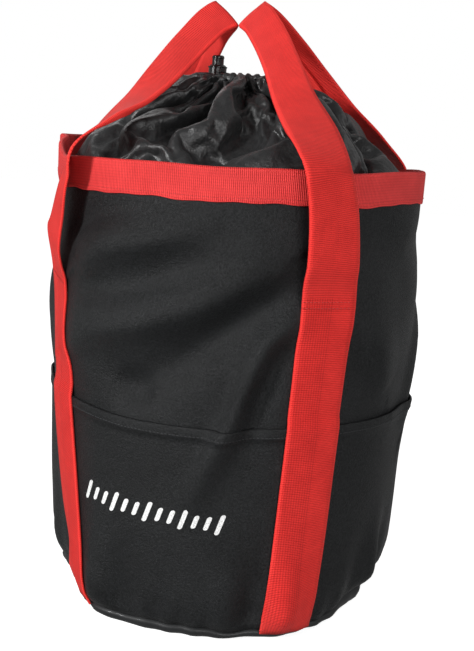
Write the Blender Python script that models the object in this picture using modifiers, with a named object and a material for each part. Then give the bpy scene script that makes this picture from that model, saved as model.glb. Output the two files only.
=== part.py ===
"""Rope storage bag: a round fabric bucket with webbing straps, outer pockets and a drawcord collar.

Metres, +Z up. The origin is on the floor, on the bag's axis. The front panel faces -Y, and the
two carry handles stand over the +X and -X sides. An azimuth is measured from the front (-Y)
towards +X, seen from above.
"""

import math

import bmesh
import bpy
from mathutils import Vector

# ---- driving dimensions -------------------------------------------------------------------
RIM_RADIUS = 0.160          # outside of the bag wall at the mouth
RIM_HEIGHT = 0.373          # top of the bound edge above the floor
HEM_RADIUS = 0.1535         # outside of the bag wall at the base seam
HEM_HEIGHT = 0.007          # base seam above the floor
CLOTH = 0.0015              # bag wall
PANEL = 0.0014              # pocket panels and folded binding
GAP = 0.0003                # between layers that touch
WEBBING = 0.045             # strap width
WEBBING_THICK = 0.0018
BINDING_DROP = 0.0255       # how far the binding reaches down each side of the mouth
POCKET_TOP = 0.178
POCKET_BOTTOM = 0.012
POCKET_GAPE = 0.0075        # how far a pocket mouth stands open at its middle
ATTACH_HEIGHT = 0.2825      # the straps are sewn down below this and free above it
STRAP_AZIMUTHS = {          # degrees at the base seam and at the last stitches
    "front_right": (42.0, 46.5),
    "back_right": (135.0, 135.0),
    "back_left": (225.0, 225.0),
    "front_left": (-33.0, -48.0),
}
POCKET_AZIMUTHS = {         # degrees where one panel ends and the next begins, under the straps
    "front": (-38.5, 45.0),
    "right": (45.0, 135.0),
    "back": (135.0, 225.0),
    "left": (225.0, 321.5),
}
SEAM_AZIMUTH = 135.0        # the wall's own seam, hidden behind a strap

COLLAR_RADIUS = 0.1545
COLLAR_CLOTH = 0.0012
HEM_RING_RADIUS = 0.02075   # middle of the cord channel round the gathered mouth
HEM_RING_HEIGHT = 0.443
CORD = 0.0035               # drawcord diameter
CORD_SPREAD = 0.0026        # half the distance between the two tails
CORD_HEIGHT = 0.449         # the tails' straight run through the lock
EXIT_AZIMUTH = 248.0        # where both tails leave the channel
EXIT_ANGLE = 29.0           # half the opening in the channel, degrees

LOCK_RADIUS = 0.008
LOCK_OUT = 0.038            # lock's centre from the bag's axis
LOCK_FLOOR = 0.4388
LOCK_TOP = 0.4570
BUTTON_RADIUS = 0.0052
BUTTON_TOP = 0.4640
SPRING_FOOT = 0.4409
SPRING_HEAD = 0.4452

TURN_STEPS = 48


# ---- scene ----------------------------------------------------------------------------------
for old in list(bpy.data.objects):
    bpy.data.objects.remove(old, do_unlink=True)

parts = bpy.data.collections.new("rope_bag")
cutters = bpy.data.collections.new("cutters")
for collection in (parts, cutters):
    bpy.context.scene.collection.children.link(collection)


def material(name, colour, roughness, metallic=0.0):
    """A plain Principled material, made once for each name."""
    if name in bpy.data.materials:
        return bpy.data.materials[name]
    made = bpy.data.materials.new(name)
    made.use_nodes = True
    shader = made.node_tree.nodes["Principled BSDF"]
    shader.inputs["Base Color"].default_value = (*colour, 1.0)
    shader.inputs["Roughness"].default_value = roughness
    shader.inputs["Metallic"].default_value = metallic
    return made


BLACK_CLOTH = material("black_cloth", (0.018, 0.019, 0.020), 0.85)
BASE_CLOTH = material("base_cloth", (0.012, 0.012, 0.013), 0.6)
BOARD = material("board", (0.05, 0.05, 0.05), 0.7)
TAPE = material("seam_tape", (0.02, 0.02, 0.02), 0.8)
RED_WEBBING = material("red_webbing", (0.70, 0.035, 0.030), 0.6)
NYLON = material("collar_nylon", (0.010, 0.010, 0.011), 0.35)
CORD_BLACK = material("cord", (0.012, 0.012, 0.013), 0.6)
LOCK_PLASTIC = material("lock_plastic", (0.010, 0.010, 0.010), 0.25)
STEEL = material("spring_steel", (0.6, 0.6, 0.6), 0.3, 1.0)


# ---- helpers --------------------------------------------------------------------------------
def polar(radius, azimuth, height):
    """A point at a radius and an azimuth in degrees from the front."""
    angle = math.radians(azimuth)
    return Vector((radius * math.sin(angle), -radius * math.cos(angle), height))


def smooth(value):
    """0 to 1 with soft ends."""
    value = min(max(value, 0.0), 1.0)
    return value * value * (3.0 - 2.0 * value)


def wall_radius(height):
    """Outside of the bag wall: drawn in at the base seam, then nearly straight to the mouth."""
    foot = smooth((height - HEM_HEIGHT) / 0.035)
    rise = min(max((height - HEM_HEIGHT) / (RIM_HEIGHT - HEM_HEIGHT), 0.0), 1.0)
    return HEM_RADIUS + 0.0035 * foot + (RIM_RADIUS - HEM_RADIUS - 0.0035) * rise


def keep(name, mesh, look):
    """An object for a finished mesh, in the parts collection."""
    made = bpy.data.objects.new(name, mesh)
    made.data.materials.append(look)
    parts.objects.link(made)
    return made


def turned(name, profile, look, steps=TURN_STEPS, closed=True):
    """A body of revolution. The profile (radius, height) runs down its outer side first."""
    mesh = bpy.data.meshes.new(name)
    count = len(profile)
    edges = [(i, i + 1) for i in range(count - 1)]
    if closed:
        edges.append((count - 1, 0))
    mesh.from_pydata([(r, 0.0, z) for r, z in profile], edges, [])
    made = keep(name, mesh, look)
    screw = made.modifiers.new("turn", "SCREW")
    screw.steps = steps
    screw.render_steps = steps
    screw.use_merge_vertices = True
    screw.merge_threshold = 0.00005
    screw.use_smooth_shade = True
    return made


def sheet(name, rows, thickness, look):
    """A grid of points, rows from bottom to top, thickened along its outward side."""
    mesh = bpy.data.meshes.new(name)
    across = len(rows[0])
    points = [p for row in rows for p in row]
    faces = []
    for j in range(len(rows) - 1):
        for i in range(across - 1):
            a = j * across + i
            faces.append((a, a + 1, a + 1 + across, a + across))
    mesh.from_pydata(points, [], faces)
    made = keep(name, mesh, look)
    shell = made.modifiers.new("thickness", "SOLIDIFY")
    shell.thickness = thickness
    shell.offset = 1.0
    shell.use_even_offset = True
    return made


def through(points, between):
    """A smooth curve (Catmull-Rom) through tuples of any length."""
    first = [2 * a - b for a, b in zip(points[0], points[1])]
    last = [2 * a - b for a, b in zip(points[-1], points[-2])]
    run = [first, *points, last]
    curve = []
    for a, b, c, d in zip(run, run[1:], run[2:], run[3:]):
        for k in range(between):
            t = k / between
            curve.append(tuple(
                0.5 * (2 * q + (r - p) * t + (2 * p - 5 * q + 4 * r - s) * t * t
                       + (3 * q - p - 3 * r + s) * t ** 3)
                for p, q, r, s in zip(a, b, c, d)
            ))
    curve.append(tuple(points[-1]))
    return curve


def tube(name, points, diameter, look, sides=2):
    """A cord or wire as a curve with filled caps."""
    curve = bpy.data.curves.new(name, "CURVE")
    curve.dimensions = "3D"
    curve.bevel_depth = diameter / 2
    curve.bevel_resolution = sides
    curve.use_fill_caps = True
    spline = curve.splines.new("POLY")
    spline.points.add(len(points) - 1)
    for point, place in zip(spline.points, points):
        point.co = (*place, 1.0)
    curve.materials.append(look)
    made = bpy.data.objects.new(name, curve)
    parts.objects.link(made)
    return made


def cut_box(target, size, place, azimuth):
    """Cut a box out of target. The box's X runs along the azimuth."""
    bpy.ops.mesh.primitive_cube_add(size=1.0)
    cutter = bpy.context.object
    cutter.name = target.name + "_cutter"
    for holder in list(cutter.users_collection):
        holder.objects.unlink(cutter)
    cutters.objects.link(cutter)
    cutter.scale = size
    cutter.location = place
    cutter.rotation_euler = (0.0, 0.0, math.radians(azimuth - 90.0))
    cutter.hide_render = True
    cutter.display_type = "WIRE"
    boolean = target.modifiers.new("cut", "BOOLEAN")
    boolean.object = cutter
    boolean.solver = "EXACT"


# ---- the bucket -----------------------------------------------------------------------------
def body_tube():
    top = RIM_HEIGHT - PANEL - GAP
    heights = (top, 0.25, 0.12, 0.050, 0.036, 0.026, 0.0165, HEM_HEIGHT)
    outside = [(wall_radius(z), z) for z in heights]
    inside = [(wall_radius(z) - CLOTH, z) for z in reversed(heights)]
    turned("body_tube", outside + inside, BLACK_CLOTH)


def base_panel():
    """A flat floor whose edge turns up inside the wall."""
    turned("base_panel", [
        (0.0, 0.0022), (0.1370, 0.0022), (0.1465, 0.0065), (0.1500, 0.0160),
        (0.1514, 0.0160), (0.1510, 0.0085), (0.1480, 0.0030), (0.1410, 0.0), (0.0, 0.0),
    ], BASE_CLOTH, closed=False)


def base_board():
    bpy.ops.mesh.primitive_cylinder_add(vertices=TURN_STEPS, radius=0.136, depth=0.003)
    board = bpy.context.object
    for holder in list(board.users_collection):
        holder.objects.unlink(board)
    parts.objects.link(board)
    board.name = "base_board"
    board.location = (0.0, 0.0, 0.0022 + GAP + 0.0015)
    board.data.materials.append(BOARD)


def base_seam_tape():
    """Tape bound over the raw edges of the base seam, inside."""
    low, high, thick = 0.0165, 0.036, 0.001

    def reach(z):
        return wall_radius(z) - CLOTH - 0.0005

    middle = 0.026
    outside = [(reach(z), z) for z in (high, middle, low)]
    inside = [(reach(z) - thick, z) for z in (low, middle, high)]
    turned("base_seam_tape", outside + inside, TAPE)


def side_seam_tape():
    """Tape over the wall's own seam, inside, from the base tape to the mouth binding."""
    half_width = 0.010
    rows = []
    for k in range(9):
        z = 0.037 + (RIM_HEIGHT - BINDING_DROP - 0.001 - 0.037) * k / 8
        radius = wall_radius(z) - CLOTH - 0.0014
        spread = math.degrees(half_width / radius)
        rows.append([polar(radius, SEAM_AZIMUTH + spread * s, z) for s in (-1, 0, 1)])
    sheet("side_seam_tape", rows, 0.0009, TAPE)


def tie_loop():
    """Webbing loop inside, low at the back, where the rope's end is tied off."""
    half_width = 0.010
    loop = through([
        (0.1486, 0.0375), (0.1470, 0.0430), (0.1400, 0.0560), (0.1372, 0.0700),
        (0.1390, 0.0790), (0.1440, 0.0820), (0.1490, 0.0790), (0.1508, 0.0700),
        (0.1508, 0.0540), (0.1508, 0.0375),
    ], 3)
    rows = [[Vector((half_width * s, y, z)) for s in (-1, 1)] for y, z in loop]
    webbing = sheet("tie_loop", rows, 0.0015, TAPE)
    webbing.modifiers["thickness"].offset = 0.0


def pocket(side, start, end):
    """One outer pocket panel, flat under the straps and standing off the wall between them."""
    under_strap = 14.0
    across, upward = 20, 7
    rows = []
    for j in range(upward + 1):
        z = POCKET_BOTTOM + (POCKET_TOP - POCKET_BOTTOM) * j / upward
        gape = POCKET_GAPE * smooth((z - POCKET_BOTTOM) / 0.075)
        row = []
        for i in range(across + 1):
            azimuth = start + 0.15 + (end - start - 0.3) * i / across
            inside = min(azimuth - start, end - azimuth) - under_strap
            open_part = smooth(inside / 20.0)
            row.append(polar(wall_radius(z) + GAP + gape * open_part, azimuth, z))
        rows.append(row)
    sheet("pocket_" + side, rows, PANEL, BLACK_CLOTH)


def rim_binding():
    """Webbing folded over the mouth's edge."""
    low = RIM_HEIGHT - BINDING_DROP
    under = RIM_HEIGHT - PANEL
    outer = RIM_RADIUS + GAP
    inner = RIM_RADIUS - CLOTH - GAP
    turned("rim_binding", [
        (outer + PANEL, RIM_HEIGHT - 0.0007), (outer + PANEL, low), (outer, low),
        (outer, under), (inner, under), (inner, low), (inner - PANEL, low),
        (inner - PANEL, RIM_HEIGHT - 0.0007), (inner - PANEL + 0.0007, RIM_HEIGHT),
        (outer + PANEL - 0.0007, RIM_HEIGHT),
    ], RED_WEBBING)


def sewn_strap(corner, foot, head):
    """Webbing sewn to the wall: over the pocket panels low down, on the wall above them."""
    low, high = HEM_HEIGHT, ATTACH_HEIGHT - 0.0003
    rows = []
    for j in range(15):
        z = low + (high - low) * j / 14
        over_pocket = 1.0 - smooth((z - POCKET_TOP - 0.002) / 0.02)
        radius = wall_radius(z) + 2 * GAP + (PANEL + GAP) * over_pocket
        azimuth = foot + (head - foot) * z / ATTACH_HEIGHT
        spread = math.degrees(WEBBING / 2 / radius)
        rows.append([polar(radius, azimuth + spread * s, z) for s in (-1, -0.5, 0, 0.5, 1)])
    sheet("strap_" + corner, rows, WEBBING_THICK, RED_WEBBING)


# ---- carry handles --------------------------------------------------------------------------
# One leg of a handle: place, the direction across the webbing, its width and its thickness.
# The webbing is folded double lengthwise in the grip, so it is narrower and thicker there.
FLAT, FOLDED = 0.0020, 0.0036
GRIP = 0.028
STANDARD_LEG = [
    ((0.1185, 0.1185, 0.2828), (0.707, 0.707, 0.0), WEBBING, FLAT),
    ((0.1195, 0.1200, 0.3070), (0.66, 0.75, 0.0), WEBBING, FLAT),
    ((0.1180, 0.1225, 0.3370), (0.60, 0.80, 0.0), WEBBING, FLAT),
    ((0.1150, 0.1250, 0.3600), (0.55, 0.835, 0.0), WEBBING, FLAT),
    ((0.1095, 0.1240, 0.3790), (0.52, 0.85, 0.05), WEBBING, FLAT),
]
RIGHT_TOP = [
    ((0.0935, 0.1080, 0.4010), (0.52, 0.80, 0.20), 0.040, FLAT),
    ((0.0690, 0.0810, 0.4260), (0.60, 0.62, 0.35), 0.031, FOLDED),
    ((0.0475, 0.0525, 0.4530), (0.68, 0.42, 0.48), GRIP, FOLDED),
    ((0.0290, 0.0300, 0.4750), (0.73, 0.25, 0.56), GRIP, FOLDED),
    ((0.0110, 0.0120, 0.4930), (0.76, 0.10, 0.62), GRIP, FOLDED),
    ((0.0002, 0.0000, 0.4995), (0.77, 0.00, 0.64), GRIP, FOLDED),
]
RIGHT_BACK_TOP = [
    ((0.0880, 0.1130, 0.4010), (0.52, 0.80, 0.20), 0.040, FLAT),
    ((0.0640, 0.0870, 0.4250), (0.60, 0.62, 0.35), 0.031, FOLDED),
    ((0.0440, 0.0580, 0.4510), (0.68, 0.42, 0.48), GRIP, FOLDED),
    ((0.0270, 0.0335, 0.4735), (0.73, 0.25, 0.56), GRIP, FOLDED),
    ((0.0108, 0.0135, 0.4922), (0.76, 0.10, 0.62), GRIP, FOLDED),
]
LEFT_FRONT_LEG = [
    ((0.1235, 0.1125, 0.2828), (0.668, 0.744, 0.0), WEBBING, FLAT),
    ((0.1145, 0.1235, 0.3080), (0.65, 0.76, 0.0), WEBBING, FLAT),
    ((0.1030, 0.1345, 0.3370), (0.62, 0.78, 0.0), WEBBING, FLAT),
    ((0.0925, 0.1430, 0.3610), (0.61, 0.79, 0.0), WEBBING, FLAT),
    ((0.0870, 0.1440, 0.3810), (0.58, 0.81, 0.05), WEBBING, FLAT),
]
LEFT_TOP = [
    ((0.0735, 0.1190, 0.4020), (0.50, 0.85, 0.15), 0.038, FLAT),
    ((0.0620, 0.0870, 0.4230), (0.58, 0.66, 0.35), 0.030, FOLDED),
    ((0.0520, 0.0590, 0.4470), (0.68, 0.42, 0.48), GRIP, FOLDED),
    ((0.0440, 0.0320, 0.4705), (0.73, 0.25, 0.56), GRIP, FOLDED),
    ((0.0330, 0.0125, 0.4915), (0.76, 0.10, 0.62), GRIP, FOLDED),
    ((0.0247, 0.0000, 0.4995), (0.77, 0.00, 0.64), GRIP, FOLDED),
]
LEFT_BACK_TOP = [
    ((0.1060, 0.1020, 0.4040), (0.56, 0.80, 0.20), 0.040, FLAT),
    ((0.0930, 0.0780, 0.4235), (0.62, 0.62, 0.35), 0.031, FOLDED),
    ((0.0780, 0.0560, 0.4450), (0.70, 0.42, 0.48), GRIP, FOLDED),
    ((0.0600, 0.0350, 0.4670), (0.74, 0.25, 0.56), GRIP, FOLDED),
    ((0.0400, 0.0140, 0.4880), (0.76, 0.10, 0.62), GRIP, FOLDED),
]


def handle(name, front_sections, back_sections, side):
    """A loop of webbing from the front strap's last stitches over to the back strap's."""
    def flat(section, way):
        place, across, width, thick = section
        return (place[0], way * place[1], place[2], across[0], way * across[1], across[2],
                width, thick)

    front = [flat(s, -1) for s in front_sections]
    back = [flat(s, 1) for s in back_sections]
    # the direction across the front leg points back, and across the back leg points forward
    front = [s[:4] + (-s[4],) + s[5:] for s in front]
    back = [s[:4] + (-s[4],) + s[5:] for s in back]
    run = through(front + back[::-1], 3)
    mesh = bpy.data.meshes.new(name)
    shape = bmesh.new()
    rings = []
    for k, section in enumerate(run):
        place = Vector(section[:3])
        ahead = Vector(run[min(k + 1, len(run) - 1)][:3])
        behind = Vector(run[max(k - 1, 0)][:3])
        along = (ahead - behind).normalized()
        across = Vector(section[3:6])
        across = (across - along * across.dot(along)).normalized() * section[6] / 2
        out = across.cross(along).normalized() * section[7] / 2
        corners = (place - across - out, place + across - out,
                   place + across + out, place - across + out)
        rings.append([shape.verts.new((side * c.x, c.y, c.z)) for c in corners])
    for lower, upper in zip(rings, rings[1:]):
        for i in range(4):
            j = (i + 1) % 4
            shape.faces.new((lower[i], lower[j], upper[j], upper[i]))
    shape.faces.new(rings[0])
    shape.faces.new(rings[-1])
    bmesh.ops.recalc_face_normals(shape, faces=shape.faces)
    shape.to_mesh(mesh)
    shape.free()
    keep(name, mesh, RED_WEBBING)


# ---- collar and drawcord --------------------------------------------------------------------
def collar():
    """Thin nylon skirt sewn inside the mouth, gathered over it into a low dome."""
    outside = [
        (0.0240, 0.4372), (0.0450, 0.4340), (0.0700, 0.4270), (0.0950, 0.4175),
        (0.1200, 0.4075), (0.1390, 0.3970), (0.1500, 0.3850), (COLLAR_RADIUS, 0.3730),
        (COLLAR_RADIUS, 0.3500),
    ]
    inside = []
    for k in reversed(range(len(outside))):
        r, z = outside[k]
        before = outside[max(k - 1, 0)]
        after = outside[min(k + 1, len(outside) - 1)]
        run = Vector((after[0] - before[0], after[1] - before[1])).normalized()
        inside.append((r + run.y * COLLAR_CLOTH, z - run.x * COLLAR_CLOTH))
    turned("collar", outside + inside, NYLON, steps=40)


def collar_hem():
    """The cord's channel, open for a stretch where the two tails come out."""
    r, z = HEM_RING_RADIUS, HEM_RING_HEIGHT
    wide, tall, cloth, seam = 0.0042, 0.0050, 0.0012, 0.0008
    ring = turned("collar_hem", [
        (r + wide, z + tall - 0.001), (r + wide, z - tall), (r + seam, z - tall),
        (r + seam, z - tall + cloth), (r + wide - cloth, z - tall + cloth),
        (r + wide - cloth, z + tall - cloth), (r - wide + cloth, z + tall - cloth),
        (r - wide + cloth, z - tall + cloth), (r - seam, z - tall + cloth),
        (r - seam, z - tall), (r - wide, z - tall), (r - wide, z + tall - 0.001),
        (r - wide + 0.001, z + tall), (r + wide - 0.001, z + tall),
    ], NYLON, steps=32)
    opening = 2 * (r * math.sin(math.radians(EXIT_ANGLE)) + 0.001)
    cut_box(ring, (0.030, opening, 0.030), polar(r + 0.004, EXIT_AZIMUTH, z), EXIT_AZIMUTH)


def drawcord_ring():
    """The cord inside the channel, from one tail round to the other."""
    start = EXIT_ANGLE + 1.2
    sweep = 360.0 - 2 * start
    steps = 26
    points = [polar(HEM_RING_RADIUS, EXIT_AZIMUTH + start + sweep * k / steps, HEM_RING_HEIGHT)
              for k in range(steps + 1)]
    tube("drawcord_ring", points, CORD, CORD_BLACK)


def tail_points(side):
    """One tail: out of the channel, straight through the lock, round and back to the knot.

    The route is (out from the axis, sideways, height), before it is turned to the exit azimuth.
    """
    exit_angle = math.radians(EXIT_ANGLE)
    spread = CORD_SPREAD * side
    turn = 0.0098 - spread
    route = [
        (HEM_RING_RADIUS * math.cos(exit_angle), side * HEM_RING_RADIUS * math.sin(exit_angle),
         HEM_RING_HEIGHT),
        (0.0200, side * 0.0071, 0.4436),
        (0.0228, side * 0.0043, 0.4452),
        (0.0262, side * 0.0030, 0.4474),
        (0.0300, spread, CORD_HEIGHT),
        (0.0400, spread, CORD_HEIGHT),
        (0.0500, spread, CORD_HEIGHT),
        (0.0615, spread, CORD_HEIGHT - 0.0002),
    ]
    drop = (0.4465, 0.4415, 0.4370, 0.4350, 0.4350)
    for k, height in enumerate(drop):
        angle = math.radians(180.0 * (k + 1) / len(drop))
        route.append((0.0625 + turn * math.sin(angle), 0.0098 - turn * math.cos(angle), height))
    route.append((0.0540, 0.0196 - spread, 0.4372))
    route.append((0.0468, 0.0196 - spread * 0.9, 0.4400))
    out = polar(1.0, EXIT_AZIMUTH, 0.0)
    sideways = polar(1.0, EXIT_AZIMUTH - 90.0, 0.0)
    return [out * o + sideways * s + Vector((0.0, 0.0, z)) for o, s, z in route]


def drawcord_tails():
    for name, side in (("drawcord_tail_a", 1), ("drawcord_tail_b", -1)):
        points = [tuple(p) for p in tail_points(side)]
        tube(name, through(points, 2), CORD, CORD_BLACK)


def drawcord_knot():
    """The knot that joins the two tails."""
    bpy.ops.mesh.primitive_uv_sphere_add(segments=14, ring_count=8, radius=1.0)
    knot = bpy.context.object
    for holder in list(knot.users_collection):
        holder.objects.unlink(knot)
    parts.objects.link(knot)
    knot.name = "drawcord_knot"
    out = polar(1.0, EXIT_AZIMUTH, 0.0)
    sideways = polar(1.0, EXIT_AZIMUTH - 90.0, 0.0)
    knot.scale = (0.0075, 0.0068, 0.0055)
    knot.rotation_euler = (0.0, 0.0, math.radians(EXIT_AZIMUTH - 90.0))
    knot.location = out * 0.0386 + sideways * 0.0196 + Vector((0.0, 0.0, 0.4413))
    knot.data.materials.append(CORD_BLACK)


# ---- cord lock ------------------------------------------------------------------------------
def at_lock(made):
    made.location = polar(LOCK_OUT, EXIT_AZIMUTH, 0.0)


def cord_lock_body():
    """Barrel with a blind bore for the button and a slot across for the two tails."""
    bore = BUTTON_RADIUS + 0.0003
    barrel = turned("cord_lock_body", [
        (bore, LOCK_TOP), (LOCK_RADIUS - 0.0012, LOCK_TOP), (LOCK_RADIUS, LOCK_TOP - 0.0020),
        (LOCK_RADIUS, LOCK_FLOOR + 0.0030), (LOCK_RADIUS - 0.0025, LOCK_FLOOR),
        (0.0, LOCK_FLOOR), (0.0, SPRING_FOOT - GAP), (bore, SPRING_FOOT - GAP),
    ], LOCK_PLASTIC, steps=24)
    at_lock(barrel)
    slot = (0.030, 2 * (CORD_SPREAD + CORD / 2) + 0.0008, CORD + 0.0008)
    place = polar(LOCK_OUT, EXIT_AZIMUTH, CORD_HEIGHT)
    cut_box(barrel, slot, place, EXIT_AZIMUTH)


def cord_lock_button():
    """Plunger whose own slot lines up with the barrel's when it is pressed."""
    r = BUTTON_RADIUS
    low = SPRING_HEAD + GAP
    button = turned("cord_lock_button", [
        (0.0, BUTTON_TOP), (r - 0.0018, BUTTON_TOP), (r, BUTTON_TOP - 0.0016), (r, low),
        (0.0, low),
    ], LOCK_PLASTIC, steps=24, closed=False)
    at_lock(button)
    travel = 0.003
    half = CORD / 2 + 0.0003
    height = 2 * half + travel
    slot = (0.030, 2 * (CORD_SPREAD + CORD / 2) + 0.0008 - 0.0003, height)
    place = polar(LOCK_OUT, EXIT_AZIMUTH, CORD_HEIGHT - half + height / 2)
    cut_box(button, slot, place, EXIT_AZIMUTH)


def cord_lock_spring():
    """Compression spring under the button."""
    wire, radius, turns, per_turn = 0.0006, 0.0036, 3, 10
    centre = polar(LOCK_OUT, EXIT_AZIMUTH, 0.0)
    low = SPRING_FOOT + wire / 2
    high = SPRING_HEAD - wire / 2
    points = []
    for k in range(turns * per_turn + 1):
        angle = 2 * math.pi * k / per_turn
        height = low + (high - low) * k / (turns * per_turn)
        points.append((centre.x + radius * math.cos(angle), centre.y + radius * math.sin(angle),
                       height))
    tube("cord_lock_spring", points, wire, STEEL)


def main():
    body_tube()
    base_panel()
    base_board()
    base_seam_tape()
    side_seam_tape()
    tie_loop()
    for side, (start, end) in POCKET_AZIMUTHS.items():
        pocket(side, start, end)
    rim_binding()
    for corner, (foot, head) in STRAP_AZIMUTHS.items():
        sewn_strap(corner, foot, head)
    handle("handle_right", STANDARD_LEG + RIGHT_TOP, STANDARD_LEG + RIGHT_BACK_TOP, 1)
    handle("handle_left", LEFT_FRONT_LEG + LEFT_TOP, STANDARD_LEG + LEFT_BACK_TOP, -1)
    collar()
    collar_hem()
    drawcord_ring()
    drawcord_tails()
    drawcord_knot()
    cord_lock_body()
    cord_lock_button()
    cord_lock_spring()


main()
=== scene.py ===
"""Looks for the rope storage bag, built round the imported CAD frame.

Metres, +Z up. The front panel faces -Y. An azimuth is measured in degrees from the front
towards +X. Red webbing, black polyester cloth, a gathered nylon collar and a cord lock.
"""

import math

import bmesh
import bpy
import numpy as np
from mathutils import Matrix, Vector


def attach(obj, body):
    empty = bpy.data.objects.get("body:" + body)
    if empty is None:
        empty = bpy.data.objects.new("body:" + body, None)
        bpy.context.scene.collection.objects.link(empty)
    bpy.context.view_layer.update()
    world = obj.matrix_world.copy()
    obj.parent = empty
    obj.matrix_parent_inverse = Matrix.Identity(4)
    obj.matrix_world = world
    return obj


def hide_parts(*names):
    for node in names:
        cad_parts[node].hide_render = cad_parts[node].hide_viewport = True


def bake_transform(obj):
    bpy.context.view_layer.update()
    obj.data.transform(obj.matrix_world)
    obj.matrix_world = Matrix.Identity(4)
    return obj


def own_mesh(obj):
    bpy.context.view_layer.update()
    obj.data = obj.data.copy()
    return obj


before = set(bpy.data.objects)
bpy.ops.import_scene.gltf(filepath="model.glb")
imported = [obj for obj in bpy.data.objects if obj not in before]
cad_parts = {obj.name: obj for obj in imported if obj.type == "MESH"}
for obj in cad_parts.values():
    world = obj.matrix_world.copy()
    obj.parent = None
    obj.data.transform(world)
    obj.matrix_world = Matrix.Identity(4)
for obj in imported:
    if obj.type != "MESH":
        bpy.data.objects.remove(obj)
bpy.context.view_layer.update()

# ---- sizes, as in the CAD -------------------------------------------------------------------
RIM_RADIUS, RIM_HEIGHT = 0.160, 0.373
HEM_RADIUS, HEM_HEIGHT = 0.1535, 0.007
CLOTH, PANEL, GAP = 0.0015, 0.0014, 0.0003
WEBBING, WEBBING_THICK = 0.045, 0.0018
BINDING_DROP = 0.0255
POCKET_TOP, POCKET_BOTTOM, POCKET_GAPE = 0.178, 0.012, 0.0075
ATTACH_HEIGHT = 0.2825
SEWN_LENGTH = 0.279
STRAP_AZIMUTHS = {
    "front_right": (42.0, 46.5),
    "back_right": (135.0, 135.0),
    "back_left": (225.0, 225.0),
    "front_left": (-27.5, -48.0),
}
POCKET_AZIMUTHS = {
    "front": (-38.5, 45.0),
    "right": (45.0, 135.0),
    "back": (135.0, 225.0),
    "left": (225.0, 321.5),
}
SEAM_AZIMUTH = 135.0
BOARD_RADIUS, BOARD_LOW, BOARD_HIGH = 0.136, 0.0025, 0.0055
COLLAR_RADIUS = 0.1545
RING_RADIUS, RING_HEIGHT = 0.02075, 0.443
CORD, CORD_SPREAD, CORD_HEIGHT = 0.0035, 0.0026, 0.449
EXIT_AZIMUTH, EXIT_ANGLE = 248.0, 29.0
LOCK_RADIUS, LOCK_OUT, BUTTON_TOP = 0.008, 0.038, 0.4640
SPRING_FOOT, SPRING_HEAD = 0.4409, 0.4452


def link(name, data):
    """A new object in the scene."""
    made = bpy.data.objects.new(name, data)
    bpy.context.scene.collection.objects.link(made)
    return made


# ---- camera, light and floor ----------------------------------------------------------------
def make_camera():
    yaw, pitch, roll, side = 0.0043, math.radians(10.51), math.radians(3.75), math.radians(20)
    ahead = Vector((math.sin(yaw) * math.cos(pitch), math.cos(yaw) * math.cos(pitch),
                    -math.sin(pitch)))
    right = Vector((math.cos(yaw), -math.sin(yaw), 0.0))
    up = right.cross(ahead)
    x = math.cos(roll) * right + math.sin(roll) * up
    y = -math.sin(roll) * right + math.cos(roll) * up
    turn = Matrix((x, y, -ahead)).transposed()
    data = bpy.data.cameras.new("camera")
    data.lens, data.sensor_width = 53.47, 36.0
    data.clip_start, data.clip_end = 0.05, 60.0
    camera = link("camera", data)
    place = Matrix.Rotation(side, 3, "Z") @ turn
    place = place.to_4x4()
    place.translation = (0.860 * math.sin(side), -0.860 * math.cos(side), 0.388)
    camera.matrix_world = place
    bpy.context.scene.camera = camera


def area_light(name, place, size, power):
    data = bpy.data.lights.new(name, "AREA")
    data.shape, data.size, data.energy = "DISK", size, power
    light = link(name, data)
    light.location = place
    towards = Vector((0, 0, 0.24)) - Vector(place)
    light.rotation_euler = towards.to_track_quat("-Z", "Y").to_euler()


def make_studio():
    world = bpy.data.worlds.new("studio")
    bpy.context.scene.world = world
    world.use_nodes = True
    tree = world.node_tree
    back = tree.nodes["Background"]
    back.inputs["Color"].default_value = (1, 1, 1, 1)
    path = tree.nodes.new("ShaderNodeLightPath")
    level = tree.nodes.new("ShaderNodeMapRange")
    level.inputs["To Min"].default_value = 0.28
    level.inputs["To Max"].default_value = 1.0
    tree.links.new(path.outputs["Is Camera Ray"], level.inputs["Value"])
    tree.links.new(level.outputs["Result"], back.inputs["Strength"])
    area_light("key", (-1.00, -1.80, 0.85), 0.42, 44.0)
    area_light("fill", (1.4, -1.5, 0.45), 1.4, 24.0)
    area_light("back_left", (-1.3, 1.4, 1.5), 1.2, 5.0)
    area_light("back_right", (1.5, 1.1, 1.4), 1.2, 3.0)
    bpy.context.scene.view_settings.view_transform = "Standard"

    mesh = bpy.data.meshes.new("floor")
    s = 6.0
    mesh.from_pydata([(-s, -s, 0), (s, -s, 0), (s, s, 0), (-s, s, 0)], [], [(0, 1, 2, 3)])
    floor = link("floor", mesh)
    pale = bpy.data.materials.new("floor_pale")
    pale.use_nodes = True
    shader = pale.node_tree.nodes["Principled BSDF"]
    shader.inputs["Base Color"].default_value = (0.60, 0.60, 0.60, 1)
    shader.inputs["Roughness"].default_value = 0.9
    shader.inputs["Specular IOR Level"].default_value = 0.0
    shader.inputs["Emission Color"].default_value = (1, 1, 1, 1)
    shader.inputs["Emission Strength"].default_value = 0.86
    mesh.materials.append(pale)
    floor.visible_diffuse = floor.visible_glossy = False


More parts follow.
